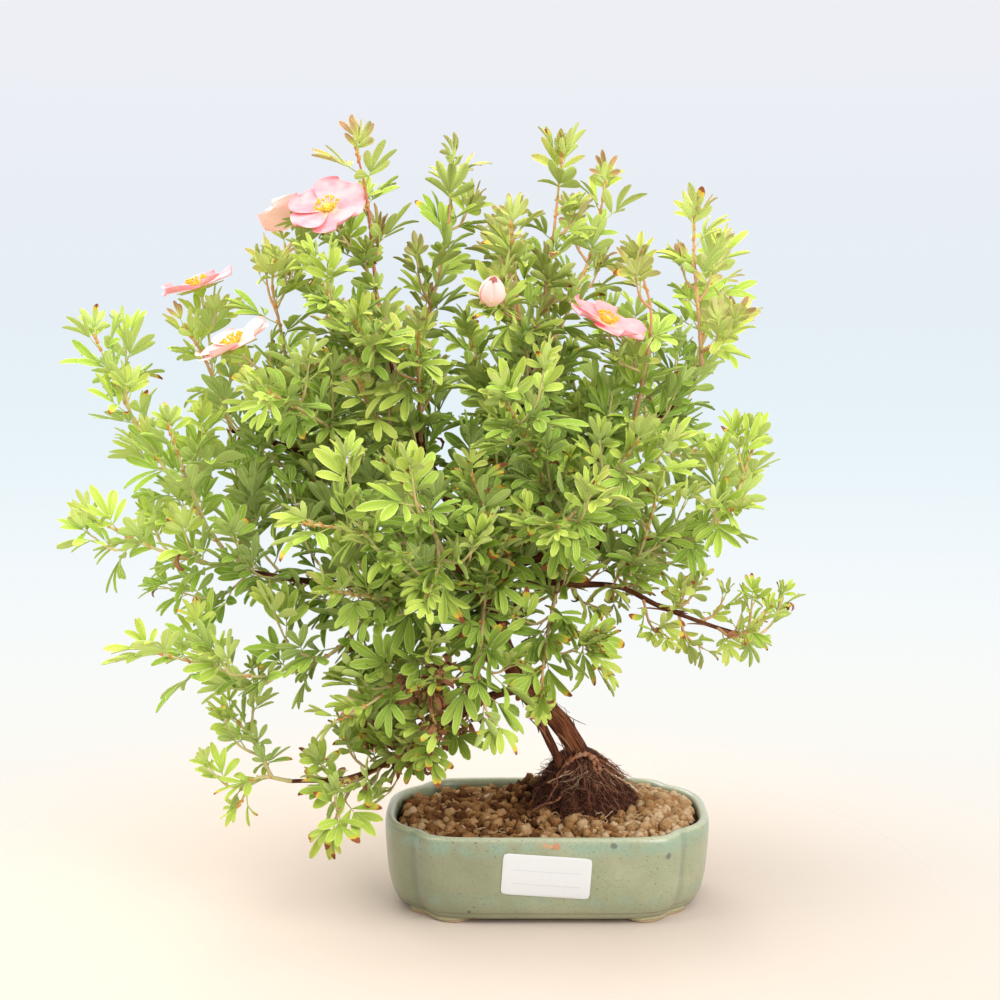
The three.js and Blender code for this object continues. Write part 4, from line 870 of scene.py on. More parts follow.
def bark_tube(points, radius_at, columns, seed, depth=0.16):
    """A woody stem: a tube whose radius swells and splits in ridges that wander slowly along it.

    The ridges are a sum of sines round the stem, of which the finer are lower. "grain" is a place on a cylinder
    drawn long, so that a noise over it streaks along the stem.
    """
    rng = np.random.default_rng(seed)
    line = smooth_line(points, 2)
    share = np.linspace(0, 1, len(line))[:, None]
    turns = round_turns(columns)[None]
    travel = share * len(line) * 2
    ridges = 0
    for waves in (2, 3, 5, 8, 13):
        wander = rng.uniform(-1, 1) * travel / 26 + rng.uniform(0, 2 * np.pi)
        ridges = ridges + np.sin(waves * turns + wander * waves**0.5) / waves**0.6
    lumps = 0.05 * np.sin(travel / 5 + rng.uniform(0, 6)) + 0.04 * np.sin(travel / 2.3 + rng.uniform(0, 6))
    radius = radius_at(share) * (1 + depth * ridges * 0.5 + lumps)
    grain = np.stack(np.broadcast_arrays(
        1.6 * np.cos(turns) + seed, 1.6 * np.sin(turns), travel * 0.05), -1).reshape(-1, 3)
    grain = np.concatenate([grain[:1], grain, grain[-1:]])[None]
    tube = tubes(line[None], radius[None], columns)
    tube["values"]["grain"] = grain[0]
    return tube


def trunk_radius(share):
    extra, middle, width = TRUNK_SWELLING
    radius = TRUNK_RADIUS[0] + (TRUNK_RADIUS[1] - TRUNK_RADIUS[0]) * share
    return radius + extra * np.exp(-(((share - middle) / width) ** 2)) + 0.9 * np.exp(-((share / 0.05) ** 2))


def side_stem_radius(share):
    return SIDE_STEM_RADIUS + 0 * share


def limb_radius(name):
    """The radius along one limb, as a function of the share of its length."""
    thick, thin = np.array(LIMB_RADIUS) * THIN_LIMBS.get(name, 1)
    return lambda share: thick + (thin - thick) * share


# Every stem's line, radius along it, columns and number of papery strips
STEMS = [(TRUNK, trunk_radius, 40, 60), (SIDE_STEM, side_stem_radius, 20, 18)]
STEMS += [(points, limb_radius(name), 14, 9) for name, points in LIMBS.items()]
BLADE_ROWS = np.array([0.12, 0.35, 0.6, 0.83, 0.965])
# Of each point across a blade: how far out it is, and 1 on the upper face, 0 on the edge, -1 on the lower face
FINE_BLADE = np.array([(-1, 0), (-0.5, 1), (0, 1), (0.5, 1), (1, 0), (0, -1)])
PLAIN_BLADE = np.array([(-1, 0), (0, 1), (1, 0), (0, -1)])


def blade_grid(rows, across, face, first, last):
    """For each point of a blade, its two poles among them: share of the length, place across it, and face."""
    t, u = np.meshgrid(rows, across, indexing="ij")
    parts = zip((t, u, np.broadcast_to(face, t.shape)), ((first, last), (0, 0), (0, 0)))
    return [np.concatenate([[start], part.ravel(), [end]]) for part, (start, end) in parts]


def blades(hubs, along, upward, length, half_width, fold, curl, thickness=0.3, shape=(1.6, 0.52),
           outline=FINE_BLADE, **values):
    """Thin closed blades, such as leaflets: each starts at its hub, runs along and has its face upward.

    The half width at share t of the length is half_width * sin(pi * t ** shape[0]) ** shape[1]. The middle line
    is an arc that turns down by curl radians over the length, and the two halves rise from it by fold radians.
    """
    t, u, face = blade_grid(BLADE_ROWS, *outline.T, 0, 1)
    length, half_width, fold, curl = (np.reshape(part, (-1, 1)) * np.ones((len(hubs), 1))
                                      for part in (length, half_width, fold, curl))
    width = half_width * np.sin(np.pi * t ** shape[0]).clip(0) ** shape[1]
    bend = curl * t
    ahead = length * t * np.sinc(bend / np.pi)
    drop = length * t * bend / 2 * np.sinc(bend / 2 / np.pi) ** 2
    rise = np.abs(u) * width * np.sin(fold) + 0.16 * width * (np.abs(u) == 0.5) - thickness * (face < 0)
    out = u * width * np.cos(fold)
    side = np.cross(along, upward)
    local = out, ahead + rise * np.sin(bend), rise * np.cos(bend) - drop
    axes = side, along, upward
    points = hubs[:, None] + sum(part[..., None] * axis[:, None] for part, axis in zip(local, axes))
    carried = {key: np.reshape(value, (-1, 1)) * np.ones((len(hubs), len(t))) for key, value in values.items()}
    own = {"length_share": t[None], "across": np.abs(u)[None], "under": (face < 0)[None] * 1.0,
           "rim": (face == 0)[None] * 1.0}
    return skin(points, len(outline), **own, **carried)


def at(line, share):
    """The places and directions at shares of the length of an evenly spaced line."""
    index = np.clip(share, 0, 1) * (len(line) - 1)
    low = np.minimum(index.astype(int), len(line) - 2)
    ahead = line[low + 1] - line[low]
    return line[low] + ahead * (index - low)[:, None], unit(ahead)


def around(ahead, turn):
    """Directions square to ahead, at a turn round it counted from the side that faces up."""
    side = unit(np.cross(ahead, (0.02, 0.01, 1)))
    up = np.cross(side, ahead)
    return side * np.sin(turn)[:, None] + up * np.cos(turn)[:, None]


def bark_strips():
    """Papery strips: narrow blades that lie along a stem and lift off it at one end."""
    rng = np.random.default_rng(31)
    skins = []
    for points, radius_at, _, count in STEMS:
        line = smooth_line(points, 2)
        share = rng.uniform(0.03, 0.9, count)
        origin, ahead = at(line, share)
        ahead = ahead * np.sign(rng.uniform(-0.7, 1, count))[:, None]
        out = around(ahead, rng.uniform(0, 2 * np.pi, count))
        hubs = origin + out * radius_at(share)[:, None] * 0.92
        lifted = unit(ahead + out * rng.uniform(0.02, 0.16, count)[:, None])
        upward = unit(out - lifted * (out * lifted).sum(1, keepdims=True))
        length, width = rng.uniform(7, 19, count), rng.uniform(0.35, 0.9, count)
        grain = np.stack([share * 40, rng.uniform(0, 9, count), share * 0], -1)
        strips = blades(hubs, lifted, upward, length, width, -0.5, -rng.uniform(0, 0.5, count), 0.2, (1, 0.5))
        strips["values"] = {"grain": np.repeat(grain, len(strips["points"]) // count, axis=0),
                            "strip": np.ones(len(strips["points"])), "rim": strips["values"]["rim"]}
        skins.append(strips)
    return skins


bark = Finish("fibrous_bark", {"Roughness": 0.85, "Specular IOR Level": 0.25})
grain = bark.vector("grain")
drawn_out = bark.node("VectorMath", {"operation": "MULTIPLY"}, {0: grain, 1: (2.2, 2.2, 1)})
streaks = bark.noise(drawn_out, 2.2, 5, 0.65)
patches = bark.noise(bark.place(), 0.09, 3)
bark_colour = bark.ramp(
    streaks * 0.75 + patches * 0.35,
    (0.34, "1f0b05"), (0.46, "47200f"), (0.56, "713b21"), (0.7, "a26c44"))
bark_colour = bark.over(bark_colour, (bark.value("strip") * 0.45, bark.over("6c3c24", (patches, "a87e5a"))))
bark.paint({"Base Color": bark_colour})
bark.bump(streaks, 1.5)
bark_tubes = [bark_tube(*stem[:3], seed) for seed, stem in enumerate(STEMS, 1)]
trunk = piece("trunk_bark", bark_tubes + bark_strips(), bark)
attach(trunk, "root")
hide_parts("trunk")

# ---------------------------------------------------------------------------------------------------------------
# Leafy sprays: this year's shoots, yellow-green or red-brown, with an orange-brown papery sheath at each leaf
# stalk. A leaf has three or five oblong leaflets from one point, downy and paler below, some burnt at the tip.

SPRAYS = {
    # limb, share of its length, colour, points of the main shoot, side shoots as (share of the main, points)
    "crown_a": ("crown_left", 1, "bronze", [(-79, 3, 290), (-83, 7, 328), (-88, 10, 350)], []),
    "crown_b": ("crown_left", 0.75, "young",
                [(-58, 16, 264), (-50, 28, 294), (-45, 37, 326), (-44, 40, 342)], []),
    "crown_c": ("crown_mid", 0.82, "young", [(-13, -8, 272), (-16, -14, 300), (-17, -16, 314)],
                [(0.4, [(-20, -24, 276), (-24, -34, 282)])]),
    "crown_d": ("crown_mid", 1, "young", [(0, 6, 290), (4, 6, 324), (6, 5, 346)], []),
    "crown_e": ("crown_mid", 0.8, "young", [(6, 24, 266), (20, 38, 298), (26, 43, 322), (28, 45, 334)], []),
    "crown_f": ("right_upper", 0.62, "young", [(42, -20, 246), (44, -36, 276), (38, -42, 298)], []),
    "crown_g": ("right_upper", 1, "young", [(69, 4, 274), (67, 9, 300), (67, 10, 320)],
                [(0.1, [(78, -14, 262), (83, -22, 272)])]),
    "crown_back": ("crown_mid", 0.9, "young", [(-14, 34, 270), (-18, 58, 296), (-20, 68, 314)], []),
    "right_a": ("right_upper", 0.88, "young", [(72, 20, 258), (78, 34, 284), (83, 40, 304)], []),
    "right_b": ("right_mid", 1, "green", [(84, 5, 180), (91, 5, 200), (96, 5, 214)],
                [(0.15, [(78, -14, 184), (83, -28, 188)])]),
    "right_c": ("right_low", 0.5, "green", [(40, -16, 162), (46, -26, 184), (48, -30, 196)], []),
    "right_d": ("right_low", 1, "yellowed", [(95, -8, 130), (100, -10, 137)],
                [(0.2, [(97, 6, 121), (101, 14, 119)])]),
    "left_a": ("upper_left", 0.78, "young", [(-118, 0, 240), (-121, -8, 266), (-124, -14, 288), (-122, -18, 298)],
               [(0.06, [(-106, 24, 230), (-102, 36, 250), (-100, 42, 266)])]),
    "left_b": ("upper_left", 1, "young", [(-153, 10, 238), (-161, 14, 256), (-168, 15, 266)], []),
    "left_c": ("left", 1, "green", [(-163, -10, 187), (-181, -8, 213), (-194, -6, 236), (-206, -5, 264)],
               [(0.2, [(-162, -28, 202), (-168, -38, 226)])]),
    "left_d": ("left", 0.95, "green", [(-162, -22, 164), (-184, -24, 172), (-205, -26, 184)],
               [(0.1, [(-140, -4, 178), (-136, -2, 196), (-134, -2, 210)])]),
    "left_e": ("left", 0.5, "green", [(-96, -30, 124), (-126, -40, 114), (-156, -44, 121), (-180, -46, 128)],
               [(0.04, [(-92, -10, 172), (-104, -4, 190), (-110, -2, 204)])]),
    "low_left_a": ("low_left", 1, "green", [(-134, -22, 62), (-142, -26, 50)],
                   [(0.3, [(-136, -12, 76), (-148, -8, 90)])]),
    "low_left_b": ("low_left", 0.75, "yellowed", [(-93, -30, 54), (-97, -40, 46)], []),
    "low_left_c": ("low_left", 0.5, "yellowed", [(-66, 6, 82), (-76, 18, 92)], []),
    "low_left_d": ("low_left", 0.36, "yellowed", [(-48, -28, 86), (-53, -44, 80)], []),
    "front_a": ("upper_left", 0.6, "green", [(-98, -18, 222), (-111, -48, 236), (-119, -74, 244)],
                [(0.04, [(-90, 26, 220), (-84, 34, 236), (-82, 38, 250)])]),
    "front_b": ("front", 0.86, "green", [(-70, -80, 184), (-88, -90, 189), (-102, -98, 192)], []),
    "front_c": ("front", 1, "green", [(-53, -82, 192), (-64, -96, 212)],
                [(0.2, [(-48, -82, 172), (-52, -96, 162)])]),
    "front_d": ("front_right", 0.65, "green", [(-6, -50, 212), (-14, -66, 230), (-21, -80, 242)], []),
    "front_e": ("front_right", 1, "green", [(8, -64, 190), (2, -84, 188)],
                [(0.15, [(26, -52, 206), (37, -61, 222)])]),
    "front_f": ("front", 0.4, "yellowed", [(-30, -48, 136), (-31, -62, 116), (-26, -68, 100)],
                [(0.05, [(-24, -50, 172), (-29, -60, 192), (-34, -64, 208)])]),
    "front_g": ("right_low", 0.25, "yellowed", [(2, -22, 142), (-2, -42, 126), (-4, -50, 108)],
                [(0.35, [(14, -26, 130), (22, -30, 116)])]),
    "front_h": ("left", 0.35, "green", [(-60, -32, 146), (-80, -58, 154), (-94, -76, 160)], []),
    "front_i": ("crown_left", 0.62, "young", [(-58, -20, 238), (-58, -38, 256), (-57, -50, 268)],
                [(0.12, [(-70, -18, 222), (-80, -30, 234), (-84, -36, 246)])]),
    "front_j": ("left", 0.28, "green", [(-58, -30, 122), (-76, -46, 106), (-92, -54, 98)],
                [(0.3, [(-54, -46, 108), (-50, -60, 96)])]),
    "back_a": ("back_left", 1, "green", [(-104, 76, 206), (-112, 86, 230)],
               [(0.15, [(-86, 82, 190), (-70, 100, 198)])]),
    "back_b": ("back", 1, "green", [(-6, 90, 208), (2, 102, 222)], [(0.2, [(-28, 84, 232), (-38, 86, 262)])]),
    "back_c": ("back_right", 1, "green", [(60, 70, 206), (76, 80, 202)],
               [(0.2, [(48, 70, 240), (44, 74, 268)])]),
    "back_d": ("back_left", 0.75, "green", [(-112, 46, 182), (-146, 54, 186)],
               [(0.3, [(-116, 42, 200), (-124, 42, 220)])]),
    "back_e": ("back_left", 0.42, "green", [(-66, 56, 146), (-82, 84, 134)], []),
    "back_f": ("back", 0.35, "green", [(-2, 44, 152), (14, 72, 138)], []),
    "back_g": ("right_mid", 0.6, "green", [(50, 32, 162), (62, 54, 158)], []),
    "inner_left": ("crown_left", 0.82, "green", [(-84, -18, 258), (-96, -26, 280), (-104, -26, 296)],
                   [(0.2, [(-80, -38, 260), (-84, -58, 274)])]),
    "inner_back": ("back_right", 0.5, "green", [(4, 46, 214), (-2, 56, 240), (2, 62, 262)],
                   [(0.25, [(-14, 50, 222), (-24, 58, 238)]), (0.3, [(22, 62, 222), (26, 84, 234)])]),
}
SPRAY_LEAF_SIZES = {"right_d": 0.72, "left_e": 1.15, "low_left_a": 0.8}  # where they aren't 1
FLOWERS = {
    # spray, middle, facing, share of the shoot where the stalk leaves it
    "a": ("crown_a", (-99, -8, 321), (-0.2, -0.62, 0.76), 0.3),
    "b": ("left_a", (-115, 18, 318), (-0.3, 0.35, 0.88), 0.75),
    "c": ("left_b", (-163, 24, 286), (-0.28, -0.09, 0.95), 0.5),
    "d": ("left_a", (-139, -30, 262), (-0.42, -0.2, 0.88), 0.35),
    "e": ("crown_f", (24, -38, 272), (0.42, -0.25, 0.87), 0.4),
    "f": ("low_left_c", (-82, 32, 76), (-0.2, 0.7, 0.1), 0.7),
}
BUD = ("crown_c", (-26, -42, 281), (0.1, -0.7, 0.7), 0.6)
BLOOM_RADIUS = 18
SEPAL_LENGTHS = 10.5, 8
SPRAY_LOOKS = {
    # age of the full leaves and of those at the tip, from 0, bronze, to 1, dark; shares of the leaflets that are
    # burnt at the tip and dead; how red the stem is; spacing of the leaves and of the twigs; lengths of the twigs
    "bronze": (0.5, 0.1, 0.01, 0.0, 1.0, 10, 30, (9, 16)),
    "young": (0.64, 0.22, 0.01, 0.0, 0.6, 9.5, 26, (12, 22)),
    "green": (0.82, 0.45, 0.03, 0.003, 0.2, 8.5, 16, (16, 32)),
    "yellowed": (0.85, 0.5, 0.22, 0.03, 0.4, 9, 18, (14, 26)),
    "inner": (1.0, 0.8, 0.02, 0.01, 0.2, 8, 0, (0, 0)),
    "small": (0.6, 0.35, 0.15, 0.03, 0.6, 5.5, 0, (0, 0)),
    "stalk": (0.7, 0.4, 0.02, 0.0, 0.3, 6, 9, (8, 15)),
    "withered": (0.75, 0.5, 0.5, 0.85, 0.8, 4.5, 6, (8, 15))}
SIDE_LOOKS = {"front_j": "withered"}  # of a spray's side shoots, where they differ from the main one
STEM_RADIUS = 1.05, 0.5
TWIG_RADIUS = 0.75, 0.38
STALK_RADIUS = 0.66, 0.6
LEAFLET_LENGTH, LEAFLET_HALF_WIDTH = 16.8, 2.45
LEAFLET_TURNS = np.radians([64, 31, 0, -31, -64])
LEAFLET_SIZES = np.array([0.8, 0.96, 1.04, 0.96, 0.8])
LOWER_PAIR_BACK = np.array([2.4, 0, 0, 0, 2.4])  # how far before the others the lower pair sits
LEAF_STALK = 8
LEAF_SPREAD = 16, 40  # degrees off the shoot: at its tip, and how much more lower down
SHEATH_LENGTHS = 2.2, 4
GOLDEN_TURN = math.radians(137.5)
TUFT_SHARE = 0.6  # of the leaves well below the tip that have a tuft of small ones with them
FULL_FROM_TIP = 28  # from there on a leaf has its shoot's full age
TWIG_SHARES = 0.12, 0.8  # of a shoot's length, between which its twigs leave it
FOLIAGE_ROOM = 6  # past the CAD's box
FOLIAGE_LOWEST = 12
CLEAR_OVER_POT = 50
CUP_FOOT = 4.6  # below the petals' middle
BLOOM_ROOM = -2, 16  # heights over a bloom's middle between which no leaf may be
BLOOM_ROOM_PAST = 2  # how far past its petals that room reaches


def side_twigs(line, rng, first, last, spacing, lengths):
    """Short shoots off a line: each leaves it on its own side and bends up to the light."""
    travel = np.linalg.norm(np.diff(line, axis=0), axis=1).sum() * (last - first)
    count = max(1, round(travel / spacing))
    share = first + (last - first) * (np.arange(count) + rng.uniform(0.1, 0.9, count)) / count
    start, ahead = at(line, share)
    out = around(ahead, rng.uniform(0, 2 * np.pi) + GOLDEN_TURN * np.arange(count))
    lean = rng.uniform(0.6, 1.1, count)[:, None]
    heading = unit(ahead * np.cos(lean) + out * np.sin(lean) + (0, 0, 0.12))
    length = rng.uniform(*lengths, count)[:, None]
    middle = start + heading * length * 0.5
    end = start + unit(heading + np.array([0, 0, 0.45])) * length
    return list(np.stack([start, middle, end], 1))


def side_shoots_of(lines, rng, look):
    """The short shoots off several lines, spaced and as long as their look says."""
    return [smooth_line(twig, 2) for line in lines for twig in side_twigs(line, rng, *TWIG_SHARES, *look[6:])]


def leaf_nodes(line, rng, look, leaf_size):
    """Where the leaves of one shoot stand and how they are: close and nearly upright at the tip, then apart.

    Each turns on from the last by the golden angle. Some of the lower ones have a tuft of small leaves with them.
    """
    age, tip_age, burnt, dead, _, spacing, *_ = look
    length = np.linalg.norm(np.diff(line, axis=0), axis=1).sum()
    gaps = np.minimum(1.6 + 1.25 * np.arange(60), spacing) * rng.uniform(0.75, 1.25, 60)
    from_tip = np.cumsum(gaps) - gaps[0] * 0.8
    from_tip = from_tip[from_tip < length * 0.9]
    turn = rng.uniform(0, 2 * np.pi) + GOLDEN_TURN * np.arange(len(from_tip))
    size = leaf_size * (0.6 + 0.4 * np.clip(from_tip / 14, 0, 1)) * rng.uniform(0.8, 1.14, len(from_tip))
    spread = np.radians(LEAF_SPREAD[0] + LEAF_SPREAD[1] * np.clip(from_tip / 22, 0, 1))
    spread = spread + rng.normal(0, 0.16, len(from_tip))
    tufts = (from_tip > 20) & (rng.random(len(from_tip)) < TUFT_SHARE)
    again = np.concatenate([np.arange(len(from_tip)), np.flatnonzero(tufts)])
    extra = np.arange(len(again)) >= len(from_tip)
    from_tip, turn, size, spread = (part[again] for part in (from_tip, turn, size, spread))
    turn = turn + extra * rng.normal(0, 0.8, len(again))
    size = size * np.where(extra, rng.uniform(0.5, 0.75, len(again)), 1)
    spread = spread * np.where(extra, 0.65, 1)
    origin, ahead = at(line, 1 - from_tip / length)
    out = around(ahead, turn)
    forward = ahead * np.cos(spread)[:, None] + out * np.sin(spread)[:, None]
    forward = unit(forward + rng.normal(0, 0.1, out.shape))
    light = ahead * 0.7 + (0, -0.12, 0.95) - out * 0.15 + rng.normal(0, 0.22, out.shape)
    upward = unit(light - forward * (light * forward).sum(1, keepdims=True))
    ages = tip_age + (age - tip_age) * (from_tip / FULL_FROM_TIP).clip(0, 1) + rng.normal(0, 0.06, len(again))
    stalk = size * LEAF_STALK * rng.uniform(0.6, 1.3, len(again))
    return {
        "origin": origin, "forward": forward, "upward": upward, "size": size, "age": np.clip(ages, 0, 1),
        "burnt": np.full(len(again), burnt), "dead": np.full(len(again), dead), "stalk": stalk}


def leaves(nodes, rng, outline):
    """The stalks and leaflets of leaves that stand at nodes, as skins."""
    count = len(nodes["origin"])
    origin, forward, upward, size = (nodes[key] for key in ("origin", "forward", "upward", "size"))
    steps = np.linspace(0, 1, 4)[None, :, None]
    stalk = nodes["stalk"][:, None, None]
    lines = origin[:, None] + forward[:, None] * steps * stalk + upward[:, None] * steps**2 * stalk * 0.12
    tint = rng.random(count)
    stalks = tubes(lines, (0.42 - 0.14 * steps[..., 0]), 3, stem=0.45, tint=tint[:, None])
    hub = lines[:, -1]
    side = np.cross(forward, upward)
    turn = LEAFLET_TURNS * rng.uniform(0.8, 1.15, (count, 1)) + rng.normal(0, 0.09, (count, 5))
    flat = forward[:, None] * np.cos(turn)[..., None] + side[:, None] * np.sin(turn)[..., None]
    lift = (rng.uniform(-0.1, 0.42, (count, 1)) + rng.normal(0, 0.1, (count, 5)))[..., None]
    along = flat * np.cos(lift) + upward[:, None] * np.sin(lift)
    normal = upward[:, None] * np.cos(lift) - flat * np.sin(lift)
    roll = rng.normal(0, 0.3, (count, 5, 1))
    normal = normal * np.cos(roll) + np.cross(along, normal) * np.sin(roll)
    hubs = hub[:, None] - forward[:, None] * (LOWER_PAIR_BACK * size[:, None])[..., None] - upward[:, None] * 0.15
    present = np.ones((count, 5), bool)
    present[:, [0, 4]] = (rng.random(count) < 0.25 + 0.75 * np.clip(size, 0, 1))[:, None]
    length = LEAFLET_LENGTH * size[:, None] * LEAFLET_SIZES * rng.uniform(0.88, 1.1, (count, 5))
    width = LEAFLET_HALF_WIDTH * size[:, None] ** 0.8 * rng.uniform(0.85, 1.15, (count, 5))
    fold = rng.uniform(0.12, 0.62, (count, 1)) + rng.normal(0, 0.08, (count, 5))
    curl = rng.normal(0.28, 0.3, (count, 5))
    burn = (rng.random((count, 5)) < nodes["burnt"][:, None]) * (0.08 + 0.3 * rng.beta(1.2, 3, (count, 5)))
    withered = rng.random((count, 5)) < nodes["dead"][:, None]
    burn = np.where(withered, 1.2, burn)
    curl = curl + np.where(withered, rng.uniform(1.5, 3.4, (count, 5)), burn * 1.5)
    length = length * np.where(withered, 0.62, 1)
    width = width * np.where(withered, 0.8, 1)
    fold = fold + withered * rng.uniform(0, 0.7, (count, 5))
    each = [part[present] for part in (hubs, along, normal, length, width, fold, curl)]
    carried = {"age": nodes["age"][:, None] + 0 * burn, "burn": burn, "tint": tint[:, None] + 0 * burn}
    carried = {key: value[present] for key, value in carried.items()}
    return [stalks, blades(*each, outline=outline, **carried)]


def sheaths(nodes, rng):
    """The papery sheath at the foot of each leaf stalk: a short cone that opens along the stem."""
    count = len(nodes["origin"])
    steps = np.linspace(0, 1, 3)[None]
    length = rng.uniform(*SHEATH_LENGTHS, count)[:, None]
    axis = unit(nodes["forward"] + nodes["upward"] * 0.6)
    lines = nodes["origin"][:, None] + axis[:, None] * ((steps - 0.35) * length)[..., None]
    radius = 0.75 + 0.25 * np.sin(np.pi * steps) - 0.35 * steps
    return tubes(lines, radius, 5, stem=1.0, tint=rng.random((count, 1)))


def near_bloom(points):
    """Whether each point lies in the flat round space that one of the blooms keeps free of leaves."""
    blocked = np.zeros(len(points), bool)
    for _, middle, facing, _ in FLOWERS.values():
        away = points - np.array(middle)
        height = away @ unit(np.array(facing, float))
        across = np.sqrt(np.maximum((away**2).sum(1) - height**2, 0))
        blocked |= (across < BLOOM_RADIUS + BLOOM_ROOM_PAST) & (height > BLOOM_ROOM[0]) & (height < BLOOM_ROOM[1])
    return blocked


def leafy_shoots(lines, radii, rng, look, leaf_size=1.0, outline=FINE_BLADE):
    """Skins of shoots and of all that grows on them.

    Leaves that would pass the CAD's box, lie on the soil or the table or cross a bloom are left out.
    """
    red = look[4]
    stems = []
    for line, (thick, thin) in zip(lines, radii):
        share = np.linspace(0, 1, len(line))
        knots = 0.09 * np.sin(share * len(line) * 2.1)
        stems.append(tubes(line[None], (thick + (thin - thick) * share + knots)[None], 7, stem=0.55 + 0.3 * red))
    nodes = [leaf_nodes(line, rng, look, leaf_size) for line in lines]
    for part, (thick, _) in zip(nodes, radii):
        part["sheathed"] = np.full(len(part["origin"]), thick > TWIG_RADIUS[0])
    nodes = {key: np.concatenate([part[key] for part in nodes]) for key in nodes[0]}
    reach = (nodes["stalk"] + LEAFLET_LENGTH * nodes["size"] * 1.1)[:, None]
    ends = (nodes["origin"] + nodes["forward"] * reach) * MM + POT_MIDDLE
    room = FOLIAGE_ROOM * MM
    inside = (ends > np.array(cad_low) - room).all(1) & (ends < np.array(cad_high) + room).all(1)
    pot_half = MM * np.array([POT_LOBES[1][0], POT_LOBES[0][1]])
    over_pot = (np.abs(ends[:, :2] - POT_MIDDLE[:2]) < pot_half).all(1)
    inside &= ~(over_pot & (ends[:, 2] < CLEAR_OVER_POT * MM)) & (ends[:, 2] > FOLIAGE_LOWEST * MM)
    middles = nodes["origin"] + nodes["forward"] * reach * 0.55
    tips = nodes["origin"] + nodes["forward"] * reach
    inside &= ~(near_bloom(nodes["origin"]) | near_bloom(middles) | near_bloom(tips))
    nodes = {key: value[inside] for key, value in nodes.items()}
    if not len(nodes["origin"]):
        return stems
    grown = stems + leaves(nodes, rng, outline)
    if nodes["sheathed"].any():
        grown.append(sheaths({key: value[nodes["sheathed"]] for key, value in nodes.items()}, rng))
    return grown


# The head's middle and these shares set where the leaves' painted glow begins, in place of light that comes
# through the head.
CROWN_SHARES = 0.82, 0.6, 0.4  # how soon the plant's head lets the light through, to each side
CROWN_MIDDLE = tuple((POT_MIDDLE / MM + (-40, 10, 150)) * CROWN_SHARES)


def foliage_finish():
    """Leaf and stem colours from the values on the points: age, tint, burn, stem and the place on the blade.

    Towards the outside of the head the leaves also carry a painted glow in their own colour, which stands in for
    light that comes through the thin leaves.
    """
    finish = Finish("cinquefoil_leaf", {"Specular IOR Level": 0.22, "Emission Strength": 0.28})
    age, tint, burn, stem = (finish.value(name) for name in ("age", "tint", "burn", "stem"))
    along, across, under = (finish.value(name) for name in ("length_share", "across", "under"))
    place = finish.place()
    mottle = finish.noise(place, 0.35, 3, 0.6)
    edge = across.step(0.7, 1.0)
    midrib = 1 - across.step(0.03, 0.16)
    below = under.step(0.01, 0.05)
    rows = finish.node("CombineXYZ", sockets={0: along * 3.2 - across * 0.8})
    veins = finish.node("TexWave", {"wave_type": "BANDS", "bands_direction": "X"},
                        {"Vector": rows, "Scale": 1.0, "Distortion": 0.0}, output="Fac")
    upper = finish.ramp(
        age + (1 - age) * (0.45 - along) * 0.5 + (tint - 0.5) * 0.16 + (mottle - 0.5) * 0.1,
        (0.0, "a87a5a"), (0.1, "a48c52"), (0.22, "b2b450"), (0.45, "b0c248"), (0.7, "92ae36"), (1.0, "77982a"))
    upper = finish.over(
        upper, (edge * 0.5, "dedfa0"), (midrib * 0.45, "d2d890"), ((1 - veins.step(0.0, 0.35)) * 0.12, "bcc468"))
    lower = finish.over(upper, (0.42, "bac67e"), (midrib * 0.5, "cdd492"))
    dry_line = along + burn + (mottle - 0.5) * 0.25 + edge * 0.06
    burnt = burn.step(0.03, 0.07)
    leaf = finish.over(
        upper,
        (below, lower),
        (dry_line.step(0.84, 0.98) * burnt, "d2b23e"),
        (dry_line.step(1.0, 1.06) * burnt, "8c4f2a"),
        (burn.step(1.0, 1.1), finish.over("5a2f18", (mottle, "b07c50"))))
    wood = finish.ramp(
        stem + (mottle - 0.5) * 0.12,
        (0.4, "b4ba62"), (0.6, "c2b47a"), (0.74, "bd8e68"), (0.85, "b46c58"), (0.93, "a0622f"), (1.0, "c08a48"))
    colour = finish.over(leaf, (stem.step(0.1, 0.3), wood))
    # Painted glow: the leaves emit their own colour, the more the farther they lie from the head's middle, in
    # place of light through the thin leaves.
    drawn_in = {0: finish.place(*CROWN_SHARES), 1: CROWN_MIDDLE}
    from_middle = finish.node("VectorMath", {"operation": "DISTANCE"}, drawn_in, "Value")
    painted_leaf_glow = finish.over("000000", (from_middle.step(60, 125), colour))
    finish.paint({"Base Color": colour, "Emission Color": painted_leaf_glow})
    finish.paint({"Roughness": 0.5 + below * 0.25 + mottle * 0.1})
    finish.bump(finish.noise(place, 1.3, 2) * 0.5 - midrib * 0.5 + veins * 0.3, 0.25)
    return finish


foliage = foliage_finish()


def facing_axes(facing):
    """Two directions square to a facing, and the facing itself, each of length 1."""
    front = unit(np.array(facing, float))
    side = unit(np.cross((0, 0, 1) if abs(front[2]) < 0.9 else (1, 0, 0), front))
    return side, np.cross(front, side), front


def flower_stalk(line, flower):
    """The line of a flower's stalk, from the shoot that carries it to the foot of its cup."""
    _, middle, facing, share = flower
    start, front = at(line, np.array([share]))[0][0], facing_axes(facing)[2]
    foot = np.array(middle) - front * CUP_FOOT
    return smooth_line([start, (start + foot) / 2 - front * 4, foot], 2.5)


